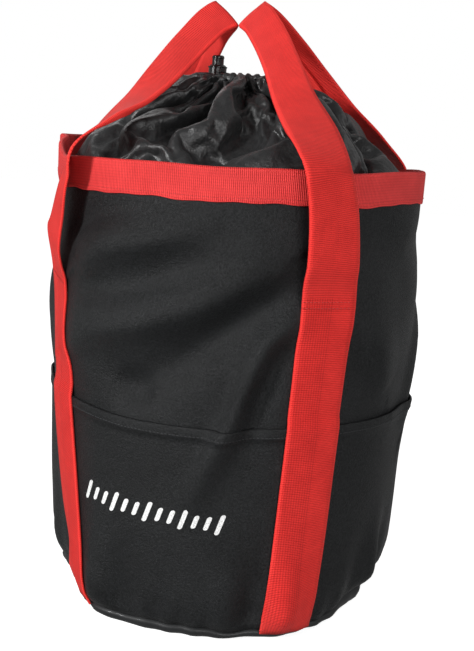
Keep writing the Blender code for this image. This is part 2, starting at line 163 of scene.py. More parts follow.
# ---- materials ------------------------------------------------------------------------------
class Look:
    """A Principled material and short ways to add nodes to it."""

    def __init__(self, name, roughness, specular=0.5, **constants):
        self.material = bpy.data.materials.new(name)
        self.material.use_nodes = True
        self.tree = self.material.node_tree
        self.shader = self.tree.nodes["Principled BSDF"]
        self.shader.inputs["Roughness"].default_value = roughness
        self.shader.inputs["Specular IOR Level"].default_value = specular
        for socket, value in constants.items():
            self.shader.inputs[socket.replace("_", " ")].default_value = value

    def put(self, value, socket):
        if hasattr(value, "is_output"):
            self.tree.links.new(value, socket)
        elif isinstance(value, tuple) and len(value) == 3 and socket.type == "RGBA":
            socket.default_value = (*value, 1.0)
        else:
            socket.default_value = value

    def math(self, operation, a, b=0.0):
        n = self.tree.nodes.new("ShaderNodeMath")
        n.operation = operation
        for value, socket in zip((a, b), n.inputs):
            self.put(value, socket)
        return n.outputs[0]

    def sum(self, a, b):
        return self.math("ADD", a, b)

    def times(self, a, b):
        return self.math("MULTIPLY", a, b)

    def less(self, a, b):
        return self.math("SUBTRACT", a, b)

    def uv(self):
        """(u, v): metres along and across the cloth."""
        n = self.tree.nodes.new("ShaderNodeUVMap")
        n.uv_map = "metres"
        split = self.tree.nodes.new("ShaderNodeSeparateXYZ")
        self.tree.links.new(n.outputs[0], split.inputs[0])
        return split.outputs[0], split.outputs[1]

    def place(self):
        return self.tree.nodes.new("ShaderNodeTexCoord").outputs["Object"]

    def noise(self, scale, detail=2.0, rough=0.5, where=None, stretch=None):
        n = self.tree.nodes.new("ShaderNodeTexNoise")
        n.inputs["Scale"].default_value = scale
        n.inputs["Detail"].default_value = detail
        n.inputs["Roughness"].default_value = rough
        where = where or self.place()
        if stretch:
            m = self.tree.nodes.new("ShaderNodeMapping")
            m.inputs["Scale"].default_value = stretch
            self.tree.links.new(where, m.inputs[0])
            where = m.outputs[0]
        self.tree.links.new(where, n.inputs["Vector"])
        return n.outputs["Fac"]

    def spread(self, value, low, high, to_low=0.0, to_high=1.0):
        n = self.tree.nodes.new("ShaderNodeMapRange")
        self.put(value, n.inputs["Value"])
        for socket, number in (("From Min", low), ("From Max", high), ("To Min", to_low),
                               ("To Max", to_high)):
            n.inputs[socket].default_value = number
        return n.outputs["Result"]

    def mix(self, share, a, b):
        n = self.tree.nodes.new("ShaderNodeMix")
        n.data_type = "RGBA"
        self.put(share, n.inputs[0])
        self.put(a, n.inputs[6])
        self.put(b, n.inputs[7])
        return n.outputs[2]

    def bump(self, height, distance, strength=1.0, under=None):
        n = self.tree.nodes.new("ShaderNodeBump")
        n.inputs["Distance"].default_value = distance
        n.inputs["Strength"].default_value = strength
        self.put(height, n.inputs["Height"])
        if under is not None:
            self.tree.links.new(under, n.inputs["Normal"])
        return n.outputs[0]

    def finish(self, colour, normal=None, roughness=None):
        self.put(colour, self.shader.inputs["Base Color"])
        if normal is not None:
            self.put(normal, self.shader.inputs["Normal"])
        if roughness is not None:
            self.put(roughness, self.shader.inputs["Roughness"])
        return self.material


def cycle(look, value, pitch):
    """0 to 1 and back once in each pitch of value."""
    turned = look.times(value, 2 * math.pi / pitch)
    return look.spread(look.math("COSINE", turned), -1.0, 1.0)


def webbing_look(name, low, high, dots=True):
    """Red webbing: ribs across its length, and lengthwise columns over part of its width."""
    look = Look(name, 0.62, 0.22, Sheen_Weight=0.06, Sheen_Roughness=0.4,
                Sheen_Tint=(1.0, 0.35, 0.32, 1.0))
    u, v = look.uv()
    ribs = cycle(look, u, 0.00145)
    columns = cycle(look, v, 0.0021)
    share = look.math("ABSOLUTE", look.less(v, -0.0085))
    zone = look.spread(share, 0.0118, 0.0128, 1.0, 0.0)
    if dots:
        sewn = look.spread(u, SEWN_LENGTH - 0.004, SEWN_LENGTH - 0.003, 1.0, 0.15)
        zone = look.times(zone, sewn)
    broad = look.noise(55.0, 3.0, 0.6)
    fuzz = look.noise(1500.0, 2.0, 0.6)
    shade = look.sum(look.spread(ribs, 0, 1, -0.05, 0.55), look.spread(fuzz, 0.3, 0.7, 0.0, 0.25))
    shade = look.sum(shade, look.spread(broad, 0.3, 0.7, 0.0, 0.22))
    if dots:
        dark = look.times(zone, look.spread(columns, 0.4, 1.0, 0.0, 0.42))
        shade = look.less(shade, dark)
    else:
        shade = look.less(shade, look.spread(columns, 0.5, 1.0, 0.0, 0.16))
    edge = look.spread(look.math("ABSOLUTE", v), WEBBING / 2 - 0.0014, WEBBING / 2 - 0.0006)
    shade = look.sum(shade, look.times(edge, 0.35))
    colour = look.mix(shade, low, high)
    height = look.sum(ribs, look.times(fuzz, 0.5))
    return look.finish(colour, look.bump(height, 0.00045, 0.9))


# looks with a single grain: name, (roughness, specular), noise, darkest and lightest colour,
# (depth, strength) of its relief, range of roughness, other constants
GRAINED = [
    ("lock_plastic", (0.16, 0.55), (260.0, 3.0, 0.6), (0.0035, 0.0035, 0.0038), (0.009, 0.009, 0.0095),
     (0.00012, 0.5), (0.12, 0.24), {"Coat_Weight": 0.35, "Coat_Roughness": 0.12}),
    ("spring_steel", (0.28, 0.5), (900.0, 3.0, 0.6, None, (1.0, 1.0, 8.0)), (0.42, 0.42, 0.43),
     (0.66, 0.66, 0.67), (0.00005, 0.5), (0.22, 0.4), {"Metallic": 1.0}),
    ("board", (0.6, 0.4), (420.0, 4.0, 0.6), (0.02, 0.02, 0.02), (0.065, 0.064, 0.062),
     (0.0003, 0.5), None, {}),
    ("print_white", (0.5, 0.4), (1100.0, 3.0, 0.6), (0.50, 0.50, 0.50), (0.86, 0.86, 0.85),
     (0.0002, 0.5), None, {}),
    # thread_red is a darker red: on the two rows across each sewn webbing end it is also painted shade of the
    # crease there
    ("thread_red", (0.6, 0.4), (1800.0, 2.0, 0.6), (0.30, 0.012, 0.011), (0.66, 0.050, 0.045),
     (0.0001, 0.6), None, {}),
    ("thread_black", (0.55, 0.4), (1800.0, 2.0, 0.6), (0.006, 0.006, 0.007), (0.045, 0.047, 0.050),
     (0.0001, 0.6), None, {}),
]


def make_looks():
    looks = {}
    look = Look("black_cloth", 0.5, 0.17, Sheen_Weight=0.02, Sheen_Roughness=0.4)
    grain = look.noise(640.0, 2.0, 0.8)
    thread = look.noise(1900.0, 2.0, 0.6)
    broad = look.noise(16.0, 3.0, 0.55)
    shade = look.sum(look.spread(grain, 0.34, 0.70, 0.0, 0.62),
                      look.spread(thread, 0.35, 0.68, 0.0, 0.28))
    shade = look.sum(shade, look.spread(broad, 0.35, 0.65, -0.05, 0.12))
    colour = look.mix(shade, (0.0010, 0.0011, 0.0012), (0.0210, 0.0222, 0.0232))
    rough = look.spread(grain, 0.3, 0.7, 0.54, 0.38)
    looks["black_cloth"] = look.finish(
        colour, look.bump(look.sum(grain, look.times(thread, 0.5)), 0.0008, 0.9), rough)

    look = Look("base_cloth", 0.55, 0.4, Coat_Weight=0.1)
    grain = look.noise(900.0, 2.0, 0.7)
    broad = look.noise(30.0, 3.0, 0.6)
    shade = look.sum(look.spread(grain, 0.3, 0.7, 0.0, 0.5), look.spread(broad, 0.3, 0.7, 0.0, 0.5))
    looks["base_cloth"] = look.finish(look.mix(shade, (0.004, 0.0042, 0.0046), (0.017, 0.018, 0.019)),
                                      look.bump(grain, 0.0003, 0.6))

    looks["red_webbing"] = webbing_look("red_webbing", (0.46, 0.011, 0.010), (0.95, 0.044, 0.036))
    looks["rim_webbing"] = webbing_look("rim_webbing", (0.42, 0.013, 0.013), (0.90, 0.065, 0.062), False)

    look = Look("collar_nylon", 0.40, 0.50, Sheen_Weight=0.05)
    crease = look.noise(34.0, 5.0, 0.58, stretch=(1.0, 1.0, 0.6))
    ridge = look.math("ABSOLUTE", look.less(crease, 0.5))
    fine = look.noise(1300.0, 2.0, 0.6)
    wide = look.noise(130.0, 4.0, 0.62)
    shade = look.sum(look.spread(wide, 0.35, 0.7, 0.0, 0.5), look.spread(fine, 0.3, 0.7, 0.0, 0.5))
    first = look.bump(ridge, 0.0030, 0.7)
    second = look.bump(wide, 0.0022, 0.7, first)
    looks["collar_nylon"] = look.finish(
        look.mix(shade, (0.0045, 0.0045, 0.0048), (0.024, 0.0243, 0.0250)),
        look.bump(fine, 0.00010, 0.5, second), look.spread(wide, 0.3, 0.7, 0.34, 0.48))

    look = Look("cord", 0.5, 0.4)
    u, v = look.uv()
    one, two = look.sum(u, look.times(v, 0.55)), look.less(u, look.times(v, 0.55))
    braid = look.times(cycle(look, one, 0.0021), cycle(look, two, 0.0021))
    fine = look.noise(2500.0)
    looks["cord"] = look.finish(
        look.mix(look.sum(look.times(braid, 0.6), look.times(fine, 0.4)),
                 (0.004, 0.004, 0.0045), (0.028, 0.028, 0.030)), look.bump(braid, 0.0004, 0.8))

    for name, base, noise, low, high, relief, roughness, constants in GRAINED:
        look = Look(name, *base, **constants)
        grain = look.noise(*noise)
        shade = look.spread(grain, 0.35, 0.6) if name == "print_white" else grain
        rough = look.spread(grain, 0.3, 0.7, *roughness) if roughness else None
        looks[name] = look.finish(look.mix(shade, low, high), look.bump(grain, *relief), rough)

    look = Look("seam_tape", 0.6, 0.35, Sheen_Weight=0.15)
    split = look.tree.nodes.new("ShaderNodeSeparateXYZ")
    look.tree.links.new(look.place(), split.inputs[0])
    ribs = cycle(look, split.outputs[2], 0.0013)
    fuzz = look.noise(1400.0)
    looks["seam_tape"] = look.finish(
        look.mix(look.sum(look.times(ribs, 0.5), look.times(fuzz, 0.5)),
                 (0.004, 0.004, 0.0045), (0.026, 0.026, 0.027)), look.bump(ribs, 0.0002, 0.7))
    return looks


# ---- the wall's shape -----------------------------------------------------------------------
def smooth(value):
    value = np.clip(value, 0.0, 1.0)
    return value * value * (3.0 - 2.0 * value)


def polar(radius, azimuth, height):
    angle = np.radians(azimuth)
    return np.stack([radius * np.sin(angle), -radius * np.cos(angle), height + 0.0 * angle], -1)


OUT, ASIDE = polar(1.0, EXIT_AZIMUTH, 0.0), polar(1.0, EXIT_AZIMUTH - 90.0, 0.0)
UP = np.array([0.0, 0.0, 1.0])


def bell(distance, width):
    return np.exp(-(distance / width) ** 2)


def away(azimuth, centre):
    """Signed degrees from centre, between -180 and 180."""
    return (azimuth - centre + 180.0) % 360.0 - 180.0


# soft folds of the wall: the line they follow as (azimuth, height), how far they stand out,
# their width, and which side is steeper
FOLDS = [
    ([(-30, 0.288), (-17, 0.306), (-4, 0.316), (10, 0.331)], 0.0052, 0.021, 0.4),
    ([(-31, 0.271), (-10, 0.278), (2, 0.290), (16, 0.306)], -0.0030, 0.013, 0.0),
    ([(-36, 0.221), (-22, 0.240), (-6, 0.252), (11, 0.271), (21, 0.288), (31, 0.303)], 0.0060, 0.022, 0.4),
    ([(-8, 0.205), (4, 0.222), (16, 0.246), (26, 0.266), (35, 0.283)], -0.0050, 0.016, 0.0),
    ([(36, 0.268), (29, 0.245), (24.6, 0.213), (21, 0.183), (16, 0.155), (12, 0.122)], 0.0056, 0.0105, 0.3),
    ([(35, 0.243), (31, 0.225), (28, 0.200), (26, 0.175)], -0.0040, 0.011, 0.0),
    ([(-14, 0.206), (-2, 0.194)], -0.0040, 0.015, 0.0),
    ([(-35, 0.314), (-21, 0.332), (-10, 0.341)], -0.0035, 0.012, 0.0),
    ([(56, 0.270), (66, 0.235), (74, 0.200)], 0.0040, 0.020, 0.3),
    ([(60, 0.320), (80, 0.300), (104, 0.312)], -0.0030, 0.024, 0.0),
    ([(122, 0.275), (108, 0.230), (98, 0.160)], 0.0040, 0.020, 0.3),
    ([(148, 0.270), (165, 0.235), (186, 0.215)], 0.0045, 0.022, 0.3),
    ([(150, 0.240), (166, 0.195), (176, 0.160)], -0.0035, 0.018, 0.0),
    ([(212, 0.275), (200, 0.220), (192, 0.150)], 0.0045, 0.020, 0.3),
    ([(205, 0.330), (185, 0.312), (162, 0.330)], -0.0030, 0.022, 0.0),
    ([(238, 0.270), (252, 0.235), (270, 0.205)], 0.0040, 0.020, 0.3),
    ([(298, 0.270), (286, 0.225), (277, 0.160)], 0.0045, 0.018, 0.3),
    ([(240, 0.325), (262, 0.300), (284, 0.318)], -0.0035, 0.024, 0.0),
]


def fold_height(azimuth, height, path, size, width, skew):
    """Height of one fold at each point, measured along the cloth."""
    scale = RIM_RADIUS * math.pi / 180.0
    origin = path[0][0]
    line = np.array([(away(np.float64(a), origin) * scale, z) for a, z in path])
    x, y = away(azimuth, origin) * scale, height
    runs = np.diff(line, axis=0)
    lengths = np.linalg.norm(runs, axis=1)
    total = lengths.sum()
    best = np.full(np.shape(x), 1e9)
    side = np.zeros(np.shape(x))
    along = np.zeros(np.shape(x))
    done = 0.0
    for start, run, length in zip(line, runs, lengths):
        dx, dy = x - start[0], y - start[1]
        t = np.clip((dx * run[0] + dy * run[1]) / length ** 2, 0, 1)
        away_x, away_y = dx - t * run[0], dy - t * run[1]
        distance = np.hypot(away_x, away_y)
        near = distance < best
        best = np.where(near, distance, best)
        side = np.where(near, np.sign(run[0] * away_y - run[1] * away_x), side)
        along = np.where(near, (done + t * length) / total, along)
        done += length
    taper = 0.35 + 0.65 * np.sin(np.pi * np.clip(along, 0, 1)) ** 0.7
    wide = width * (1.0 + skew * side)
    return 2.0 * size * taper * np.exp(-(best / wide) ** 2)


def cad_radius(height):
    foot = smooth((height - HEM_HEIGHT) / 0.035)
    rise = np.clip((height - HEM_HEIGHT) / (RIM_HEIGHT - HEM_HEIGHT), 0.0, 1.0)
    return HEM_RADIUS + 0.0035 * foot + (RIM_RADIUS - HEM_RADIUS - 0.0035) * rise


def ripple(azimuth, seed, orders, fade=1.0):
    """Uneven waves round the bag, the same at 0 and 360 degrees."""
    draw = np.random.default_rng(seed)
    total = 0.0
    for k in orders:
        size, phase = draw.uniform(0.4, 1.0), draw.uniform(0, 2 * np.pi)
        total = total + size * np.cos(k * np.radians(azimuth) + phase) / k ** fade
    return total


def rim_lift(azimuth):
    """How far the mouth's edge stands above or below its CAD height."""
    raised = 0.0155 * (1 - smooth((np.abs(away(azimuth, -92.0)) - 22.0) / 26.0))
    other = 0.0050 * (1 - smooth((np.abs(away(azimuth, 95.0)) - 14.0) / 34.0))
    back = 0.0040 * (1 - smooth((np.abs(away(azimuth, 180.0)) - 8.0) / 30.0))
    return raised + other + back + 0.0011 * ripple(azimuth, 5, (3, 5, 7, 11), 0.3)


def lift(azimuth, height):
    return rim_lift(azimuth) * smooth((height - 0.19) / 0.175)


def wall(azimuth, height):
    """Outside radius of the cloth wall, folds and all."""
    azimuth = np.asarray(azimuth, float)
    height = np.asarray(height, float)
    radius = cad_radius(height)
    body = smooth((height - 0.012) / 0.05)
    upper = smooth((RIM_HEIGHT - 0.010 - height) / 0.05)
    # a soft corner where the front left strap is: fuller in front of it, drawn in behind it
    low = 1.0 - 0.85 * smooth((height - 0.03) / 0.16)
    radius = radius + (0.0050 * bell(away(azimuth, -14.0), 13.0)
                       - 0.0085 * bell(away(azimuth, -47.0), 15.0)) * low
    # the lower edge is drawn in on the right and a little on the left
    near_hem = np.exp(-(np.maximum(height - HEM_HEIGHT, 0) / 0.045) ** 1.5)
    radius = radius - (0.0075 * bell(away(azimuth, 84.0), 26.0)
                       + 0.0055 * bell(away(azimuth, -52.0), 24.0)) * near_hem
    radius = radius - 0.0064 * bell(away(azimuth, 84.0), 26.0) * (1 - smooth((height - 0.14) / 0.15))
    radius = radius + 0.0012 * body * ripple(azimuth + 40 * height, 11, (2, 3, 4, 5), 0.2)
    # the left side of the mouth has two upright dents
    edge = smooth((height - 0.27) / 0.08)
    radius = radius + edge * (-0.0050 * bell(away(azimuth, -77.0), 4.5) - 0.0042 * bell(away(azimuth, -66.0), 3.6)
                              + 0.0028 * bell(away(azimuth, -71.5), 3.5) + 0.0025 * bell(away(azimuth, -86.0), 7.0))
    radius = radius - 0.0052 * bell(away(azimuth, 98.0), 30.0) * smooth((height - 0.29) / 0.06)
    radius = radius + edge * (-0.0025 * bell(away(azimuth, 104.0), 9.0) + 0.0022 * bell(away(azimuth, 86.0), 12.0))
    folds = sum(fold_height(azimuth, height, *fold) for fold in FOLDS)
    radius = radius + folds * upper * body
    # gathers along the base seam, and the seam's own groove
    gather = ripple(azimuth, 23, (11, 17, 19, 26), 0.0) / 4
    fine = ripple(azimuth, 29, (37, 44, 53), 0.0) / 3
    drop = height - hem_line(azimuth)
    radius = radius + 0.0125 * gather * np.exp(-((drop - 0.015) / np.where(drop < 0.015, 0.013, 0.038)) ** 2)
    radius = radius + 0.0026 * fine * np.exp(-((drop - 0.006) / 0.012) ** 2)
    radius = radius - 0.0026 * np.exp(-(drop / 0.0050) ** 2)
    return radius


def on_wall(azimuth, height, off=0.0):
    """A point at a distance outside the cloth wall."""
    azimuth = np.asarray(azimuth, float)
    height = np.asarray(height, float)
    return polar(wall(azimuth, height) + off, azimuth, height + lift(azimuth, height))


def hem_line(azimuth):
    """Height of the wall's sewn lower edge."""
    side = 0.0105 * bell(away(azimuth, 84.0), 24.0) + 0.0150 * bell(away(azimuth, -42.0), 17.0)
    return 0.0084 + 0.0034 * bell(away(azimuth, 5.0), 24.0) + side + 0.0012 * ripple(azimuth, 31, (9, 14, 21, 33), 0.0) / 2


# ---- meshes ---------------------------------------------------------------------------------
def add(name, points, faces, uvs, look, smooth_shade=True):
    """An object from points, faces and one uv pair for each point of each face (None: all 0)."""
    if uvs is None:
        uvs = [[(0.0, 0.0)] * len(face) for face in faces]
    mesh = bpy.data.meshes.new(name)
    mesh.from_pydata(np.asarray(points, float).tolist(), [], faces)
    layer = mesh.uv_layers.new(name="metres")
    flat = np.asarray([uv for face in uvs for uv in face], np.float32)
    layer.data.foreach_set("uv", flat.ravel())
    if smooth_shade:
        mesh.polygons.foreach_set("use_smooth", [True] * len(mesh.polygons))
    mesh.validate()
    mesh.materials.append(look)
    return link(name, mesh)


def lengths(points, axis=0):
    """Distances between neighbours along an axis."""
    return np.linalg.norm(np.diff(points, axis=axis), axis=-1)


def running(steps):
    """Distance from the start, for each point."""
    return np.concatenate([[0], np.cumsum(steps)])


def slab(name, outer, inner, look, uv, closed=False):
    """A closed solid between two grids (rows, columns, 3). closed joins the last column to the first."""
    rows, columns = outer.shape[:2]
    count = rows * columns
    points = np.concatenate([outer.reshape(-1, 3), inner.reshape(-1, 3)])
    faces, uvs = [], []
    u, v = uv

    def pair(j, i):
        return (float(u[j, i]), float(v[j, i]))

    def edge(j, i, n, k, flip):
        """A face between the two grids, along the line from point j, i to point n, k."""
        a, b = j * columns + i, n * columns + k
        turn = -1 if flip else 1
        faces.append((a, b, b + count, a + count)[::turn])
        uvs.append((pair(j, i), pair(n, k), pair(n, k), pair(j, i))[::turn])

    last = columns if closed else columns - 1
    for j in range(rows - 1):
        for i in range(last):
            k = (i + 1) % columns
            a, b = j * columns + i, j * columns + k
            c, d = b + columns, a + columns
            right = (pair(j, i), pair(j, k), pair(j + 1, k), pair(j + 1, i))
            if closed and k == 0:
                # the last column's cloth runs on past the first column's uv
                du, dv = float(u[j, 1] - u[j, 0]), float(v[j, 1] - v[j, 0])
                du, dv = (du, 0.0) if abs(du) > abs(dv) else (0.0, dv)
                low, high = pair(j, i), pair(j + 1, i)
                right = (low, (low[0] + du, low[1] + dv), (high[0] + du, high[1] + dv), high)
            faces.extend([(a, b, c, d), (a + count, d + count, c + count, b + count)])
            uvs.extend([right, (right[0], right[3], right[2], right[1])])
    for i in range(last):
        edge(0, i, 0, (i + 1) % columns, True)
        edge(rows - 1, i, rows - 1, (i + 1) % columns, False)
    if not closed:
        for j in range(rows - 1):
            edge(j, 0, j + 1, 0, False)
            edge(j, columns - 1, j + 1, columns - 1, True)
    return add(name, points, faces, uvs, look)


def grid_normals(grid, closed=False):
    """Unit normals of a grid whose rows run up and whose columns run along +azimuth."""
    if closed:
        along = np.roll(grid, -1, 1) - np.roll(grid, 1, 1)
    else:
        along = np.gradient(grid, axis=1)
    upward = np.gradient(grid, axis=0)
    normal = np.cross(along, upward)
    return normal / np.maximum(np.linalg.norm(normal, axis=-1, keepdims=True), 1e-12)


def ribbon(name, middle, thickness, look, closed=False, u=None, v=None):
    """A strip of even thickness about a grid of middle points."""
    normal = grid_normals(middle, closed)
    half = thickness / 2
    if u is None:
        u = np.repeat(running(lengths(middle).mean(1))[:, None], middle.shape[1], 1)
    if v is None:
        across = running(lengths(middle, 1).mean(0))
        v = np.repeat((across - across[-1] / 2)[None, :], middle.shape[0], 0)
    return slab(name, middle + normal * half, middle - normal * half, look, (u, v), closed)


def stitches(name, path, normals, look, pitch=0.0030, length=0.0021, width=0.0007, height=0.00045, closed=False):
    """Raised thread along a path: one short rounded bar for each stitch."""
    path, normals = np.asarray(path), np.asarray(normals)
    if closed:
        path = np.concatenate([path, path[:1]])
        normals = np.concatenate([normals, normals[:1]])
    run = running(lengths(path))
    count = max(int(run[-1] / pitch), 1)
    centres = (np.arange(count) + 0.5) * run[-1] / count

    def at(distance, values):
        return np.stack([np.interp(distance, run, values[:, k]) for k in range(3)], -1)

    shape = [(-1.0, 0.45, 0.0), (-0.62, 0.95, 0.8), (0.0, 1.0, 1.0), (0.62, 0.95, 0.8), (1.0, 0.45, 0.0)]
    points, faces = [], []
    for centre in centres:
        start = len(points)
        for t, wide, high in shape:
            where = at(centre + t * length / 2, path)
            ahead = at(centre + t * length / 2 + 1e-4, path) - at(centre + t * length / 2 - 1e-4, path)
            ahead = ahead / max(np.linalg.norm(ahead), 1e-12)
            up = at(centre, normals)
            up = up / np.linalg.norm(up)
            side = np.cross(ahead, up)
            for s, h in ((-1.0, -0.5), (-0.62, high), (0.62, high), (1.0, -0.5)):
                points.append(where + side * s * wide * width / 2 + up * h * height)
        for k in range(len(shape) - 1):
            a = start + 4 * k
            for i in range(4):
                j = (i + 1) % 4
                faces.append((a + i, a + j, a + 4 + j, a + 4 + i))
        faces.append((start, start + 3, start + 2, start + 1))
        end = start + 4 * (len(shape) - 1)
        faces.append((end, end + 1, end + 2, end + 3))
    made = add(name, points, faces, None, look)
    flip_outward(made)
    return made


def flip_outward(made):
    shape = bmesh.new()
    shape.from_mesh(made.data)
    bmesh.ops.recalc_face_normals(shape, faces=shape.faces)
    shape.to_mesh(made.data)
    shape.free()


def through(points, between):
    """A smooth curve (Catmull-Rom) through rows of numbers."""
    points = [np.asarray(p, float) for p in points]
    run = [2 * points[0] - points[1], *points, 2 * points[-1] - points[-2]]
    curve = []
    for a, b, c, d in zip(run, run[1:], run[2:], run[3:]):
        for k in range(between):
            t = k / between
            curve.append(0.5 * (2 * b + (c - a) * t + (2 * a - 5 * b + 4 * c - d) * t * t
                                + (3 * b - a - 3 * c + d) * t ** 3))
    curve.append(points[-1])
    return np.array(curve)


def settle(made, slot, body, *nodes):
    """Attach to the body and hide the CAD nodes it stands for; slot is not used."""
    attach(made, body)
    if nodes:
        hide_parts(*nodes)
    return made


# ---- bucket ---------------------------------------------------------------------------------
def around(columns):
    return np.arange(columns) * 360.0 / columns


def make_body(looks):
    foot = hem_line(around(288))
    share = np.linspace(0, 1, 96)[:, None] ** 1.12
    heights = foot[None, :] + (RIM_HEIGHT - PANEL - GAP - 0.0006 - foot[None, :]) * share
    azimuth = around(288)[None, :] + 0 * heights
    tube = slab("body_wall", on_wall(azimuth, heights), on_wall(azimuth, heights, -CLOTH),
                looks["black_cloth"], (np.radians(azimuth) * RIM_RADIUS, heights), closed=True)
    settle(tube, "black_cloth", "bag", "body_tube")


def make_base(looks):
    """The floor panel: its edge bulges under the puckered seam and turns up inside the wall."""
    azimuth = around(216)
    bulge = 1.0 + 0.35 * ripple(azimuth, 41, (7, 11, 16), 0.0) / 2
    foot = hem_line(azimuth)
    seam = wall(azimuth, foot)
    lines = []
    for reach, height in ((0.0, 0.0), (0.35, 0.0), (0.70, 0.0), (0.86, 0.0), (0.915, 0.0003), (0.950, 0.0014)):
        lines.append(polar(seam * reach, azimuth, height + 0 * azimuth))
    for inset, height in ((0.0034, 0.22), (0.0002, 0.42), (-0.0014, 0.62), (-0.0020, 0.80), (-0.0014, 0.95), (0.0003, 1.02)):
        lines.append(polar(seam - inset + 0.0008 * (bulge - 1.0), azimuth, foot * height))
    for up in (0.0012, 0.0030, 0.0060, 0.0090):
        lines.append(on_wall(azimuth, foot + up, -CLOTH - 0.0002))
    outer = np.array(lines)
    outer[0] = outer[0] * 0 + [0, 0, 0]
    outer[0, :, :2] = polar(np.full(azimuth.shape, 0.002), azimuth, 0.0)[:, :2]
    normal = grid_normals(outer, True)
    # rows run outwards here, so the normal already points down and out
    inner = outer - normal * 0.0015
    inner[:5, :, 2] = outer[:5, :, 2] + 0.0018
    inner[-4:] = outer[-4:] * np.array([0.9985, 0.9985, 1.0])
    run = np.repeat(running(lengths(outer).mean(1))[:, None], outer.shape[1], 1)
    base = slab("base_shell", outer, inner, looks["base_cloth"],
                (run, np.radians(azimuth)[None, :] * 0.15 + 0 * run), closed=True)
    flip_outward(base)
    settle(base, "base_cloth", "bag", "base_panel")
    dense = around(360)
    path = on_wall(dense, hem_line(dense) + 0.0052, 0.0001)
    thread = stitches("base_seam_thread", path, polar(1.0, dense, 0.0), looks["thread_black"],
                      0.0034, 0.0024, 0.0008, 0.0005, closed=True)
    settle(thread, "black_cloth", "bag")


def make_inside(looks):
    """Tape over the two inner seams and the board on the floor, all following the cloth."""
    azimuth = around(240)
    heights = hem_line(azimuth)[None, :] + np.array([0.0082, 0.0125, 0.0170, 0.0215, 0.0265])[:, None]
    grid = azimuth[None, :] + 0 * heights
    outer, inner = on_wall(grid, heights, -CLOTH - 0.0005), on_wall(grid, heights, -CLOTH - 0.0015)
    tape = slab("base_tape_band", outer, inner, looks["seam_tape"], (np.radians(grid) * 0.15, heights), closed=True)
    flip_outward(tape)
    settle(tape, "seam_tape", "bag", "base_seam_tape")

    spread = np.linspace(-3.6, 3.6, 7)
    heights = np.linspace(0.039, RIM_HEIGHT - BINDING_DROP - 0.001, 60)[:, None] + 0 * spread[None, :]
    grid = SEAM_AZIMUTH + spread[None, :] + 0 * heights
    outer, inner = on_wall(grid, heights, -CLOTH - 0.0006), on_wall(grid, heights, -CLOTH - 0.0015)
    tape = slab("side_tape_band", outer, inner, looks["seam_tape"], (np.radians(grid) * 0.15, heights))
    flip_outward(tape)
    settle(tape, "seam_tape", "bag", "side_seam_tape")

    edge = np.minimum(BOARD_RADIUS, wall(azimuth, 0.0045 + 0 * azimuth) - CLOTH - 0.0055)
    points = [*polar(edge, azimuth, BOARD_LOW), *polar(edge, azimuth, BOARD_HIGH)]
    count = len(azimuth)
    faces = [tuple(range(count - 1, -1, -1)), tuple(range(count, 2 * count))]
    for i in range(count):
        j = (i + 1) % count
        faces.append((i, j, count + j, count + i))
    board = add("floor_board", points, faces, None, looks["board"], False)
    flip_outward(board)
    settle(board, "board", "bag", "base_board")


def pocket_offset(azimuth, height, start, end):
    under_strap = 14.0
    gape = POCKET_GAPE * 0.16 * smooth((height - POCKET_BOTTOM) / 0.075) ** 1.5
    inside = np.minimum(azimuth - start, end - azimuth) - under_strap
    return GAP + gape * smooth(inside / 20.0)


def pocket_edge(azimuth, start, end):
    """Height of a pocket's mouth: it sags a little between the straps."""
    middle = smooth((np.minimum(azimuth - start, end - azimuth) - 8.0) / 26.0)
    return POCKET_TOP + 0.0012 * (1 - middle) - 0.0006 * middle


def slide(azimuth, height):
    """The joint between the front and left panels leans, to stay under its strap."""
    foot, head = STRAP_AZIMUTHS["front_left"]
    joint = POCKET_AZIMUTHS["front"][0]
    shift = foot + (head - foot) * height / ATTACH_HEIGHT - joint
    return azimuth + shift * (1 - smooth(np.abs(away(azimuth, joint)) / 34.0))


def make_pockets(looks):
    for side, (start, end) in POCKET_AZIMUTHS.items():
        columns = int((end - start) * 0.95)
        azimuth = np.linspace(start + 0.12, end - 0.12, columns)
        top = pocket_edge(azimuth, start, end)
        low = hem_line(azimuth) + 0.0016
        hem = 0.0092
        share = np.linspace(0, 1, 34)
        heights = low[None, :] + (top - hem - low)[None, :] * share[:, None]
        top_rows = top[None, :] - hem + np.array([0.0004, 0.0020, 0.0050, 0.0080, 0.0089, 0.0092])[:, None]
        heights = np.concatenate([heights, top_rows])
        extra = np.concatenate([np.zeros(34), [0.00055, 0.0007, 0.00075, 0.0007, 0.00045, 0.0001]])[:, None]
        grid = azimuth[None, :] + 0 * heights
        off = pocket_offset(grid, heights, start, end)
        leaning = slide(grid, heights)
        outer = on_wall(leaning, heights, off + PANEL + extra)
        inner = on_wall(leaning, heights, off)
        panel = slab("pocket_panel_" + side, outer, inner, looks["black_cloth"],
                     (np.radians(grid) * RIM_RADIUS, heights))
        settle(panel, "black_cloth", "bag", "pocket_" + side)
        inset = azimuth[(azimuth > start + 7.5) & (azimuth < end - 7.5)]
        line = pocket_edge(inset, start, end) - 0.0068
        off = pocket_offset(inset, line, start, end) + PANEL + 0.0007
        thread = stitches("pocket_thread_" + side, on_wall(slide(inset, line), line, off), polar(1.0, inset, 0.0),
                          looks["thread_black"], 0.0031, 0.0022, 0.0007, 0.0004)
        settle(thread, "black_cloth", "bag")


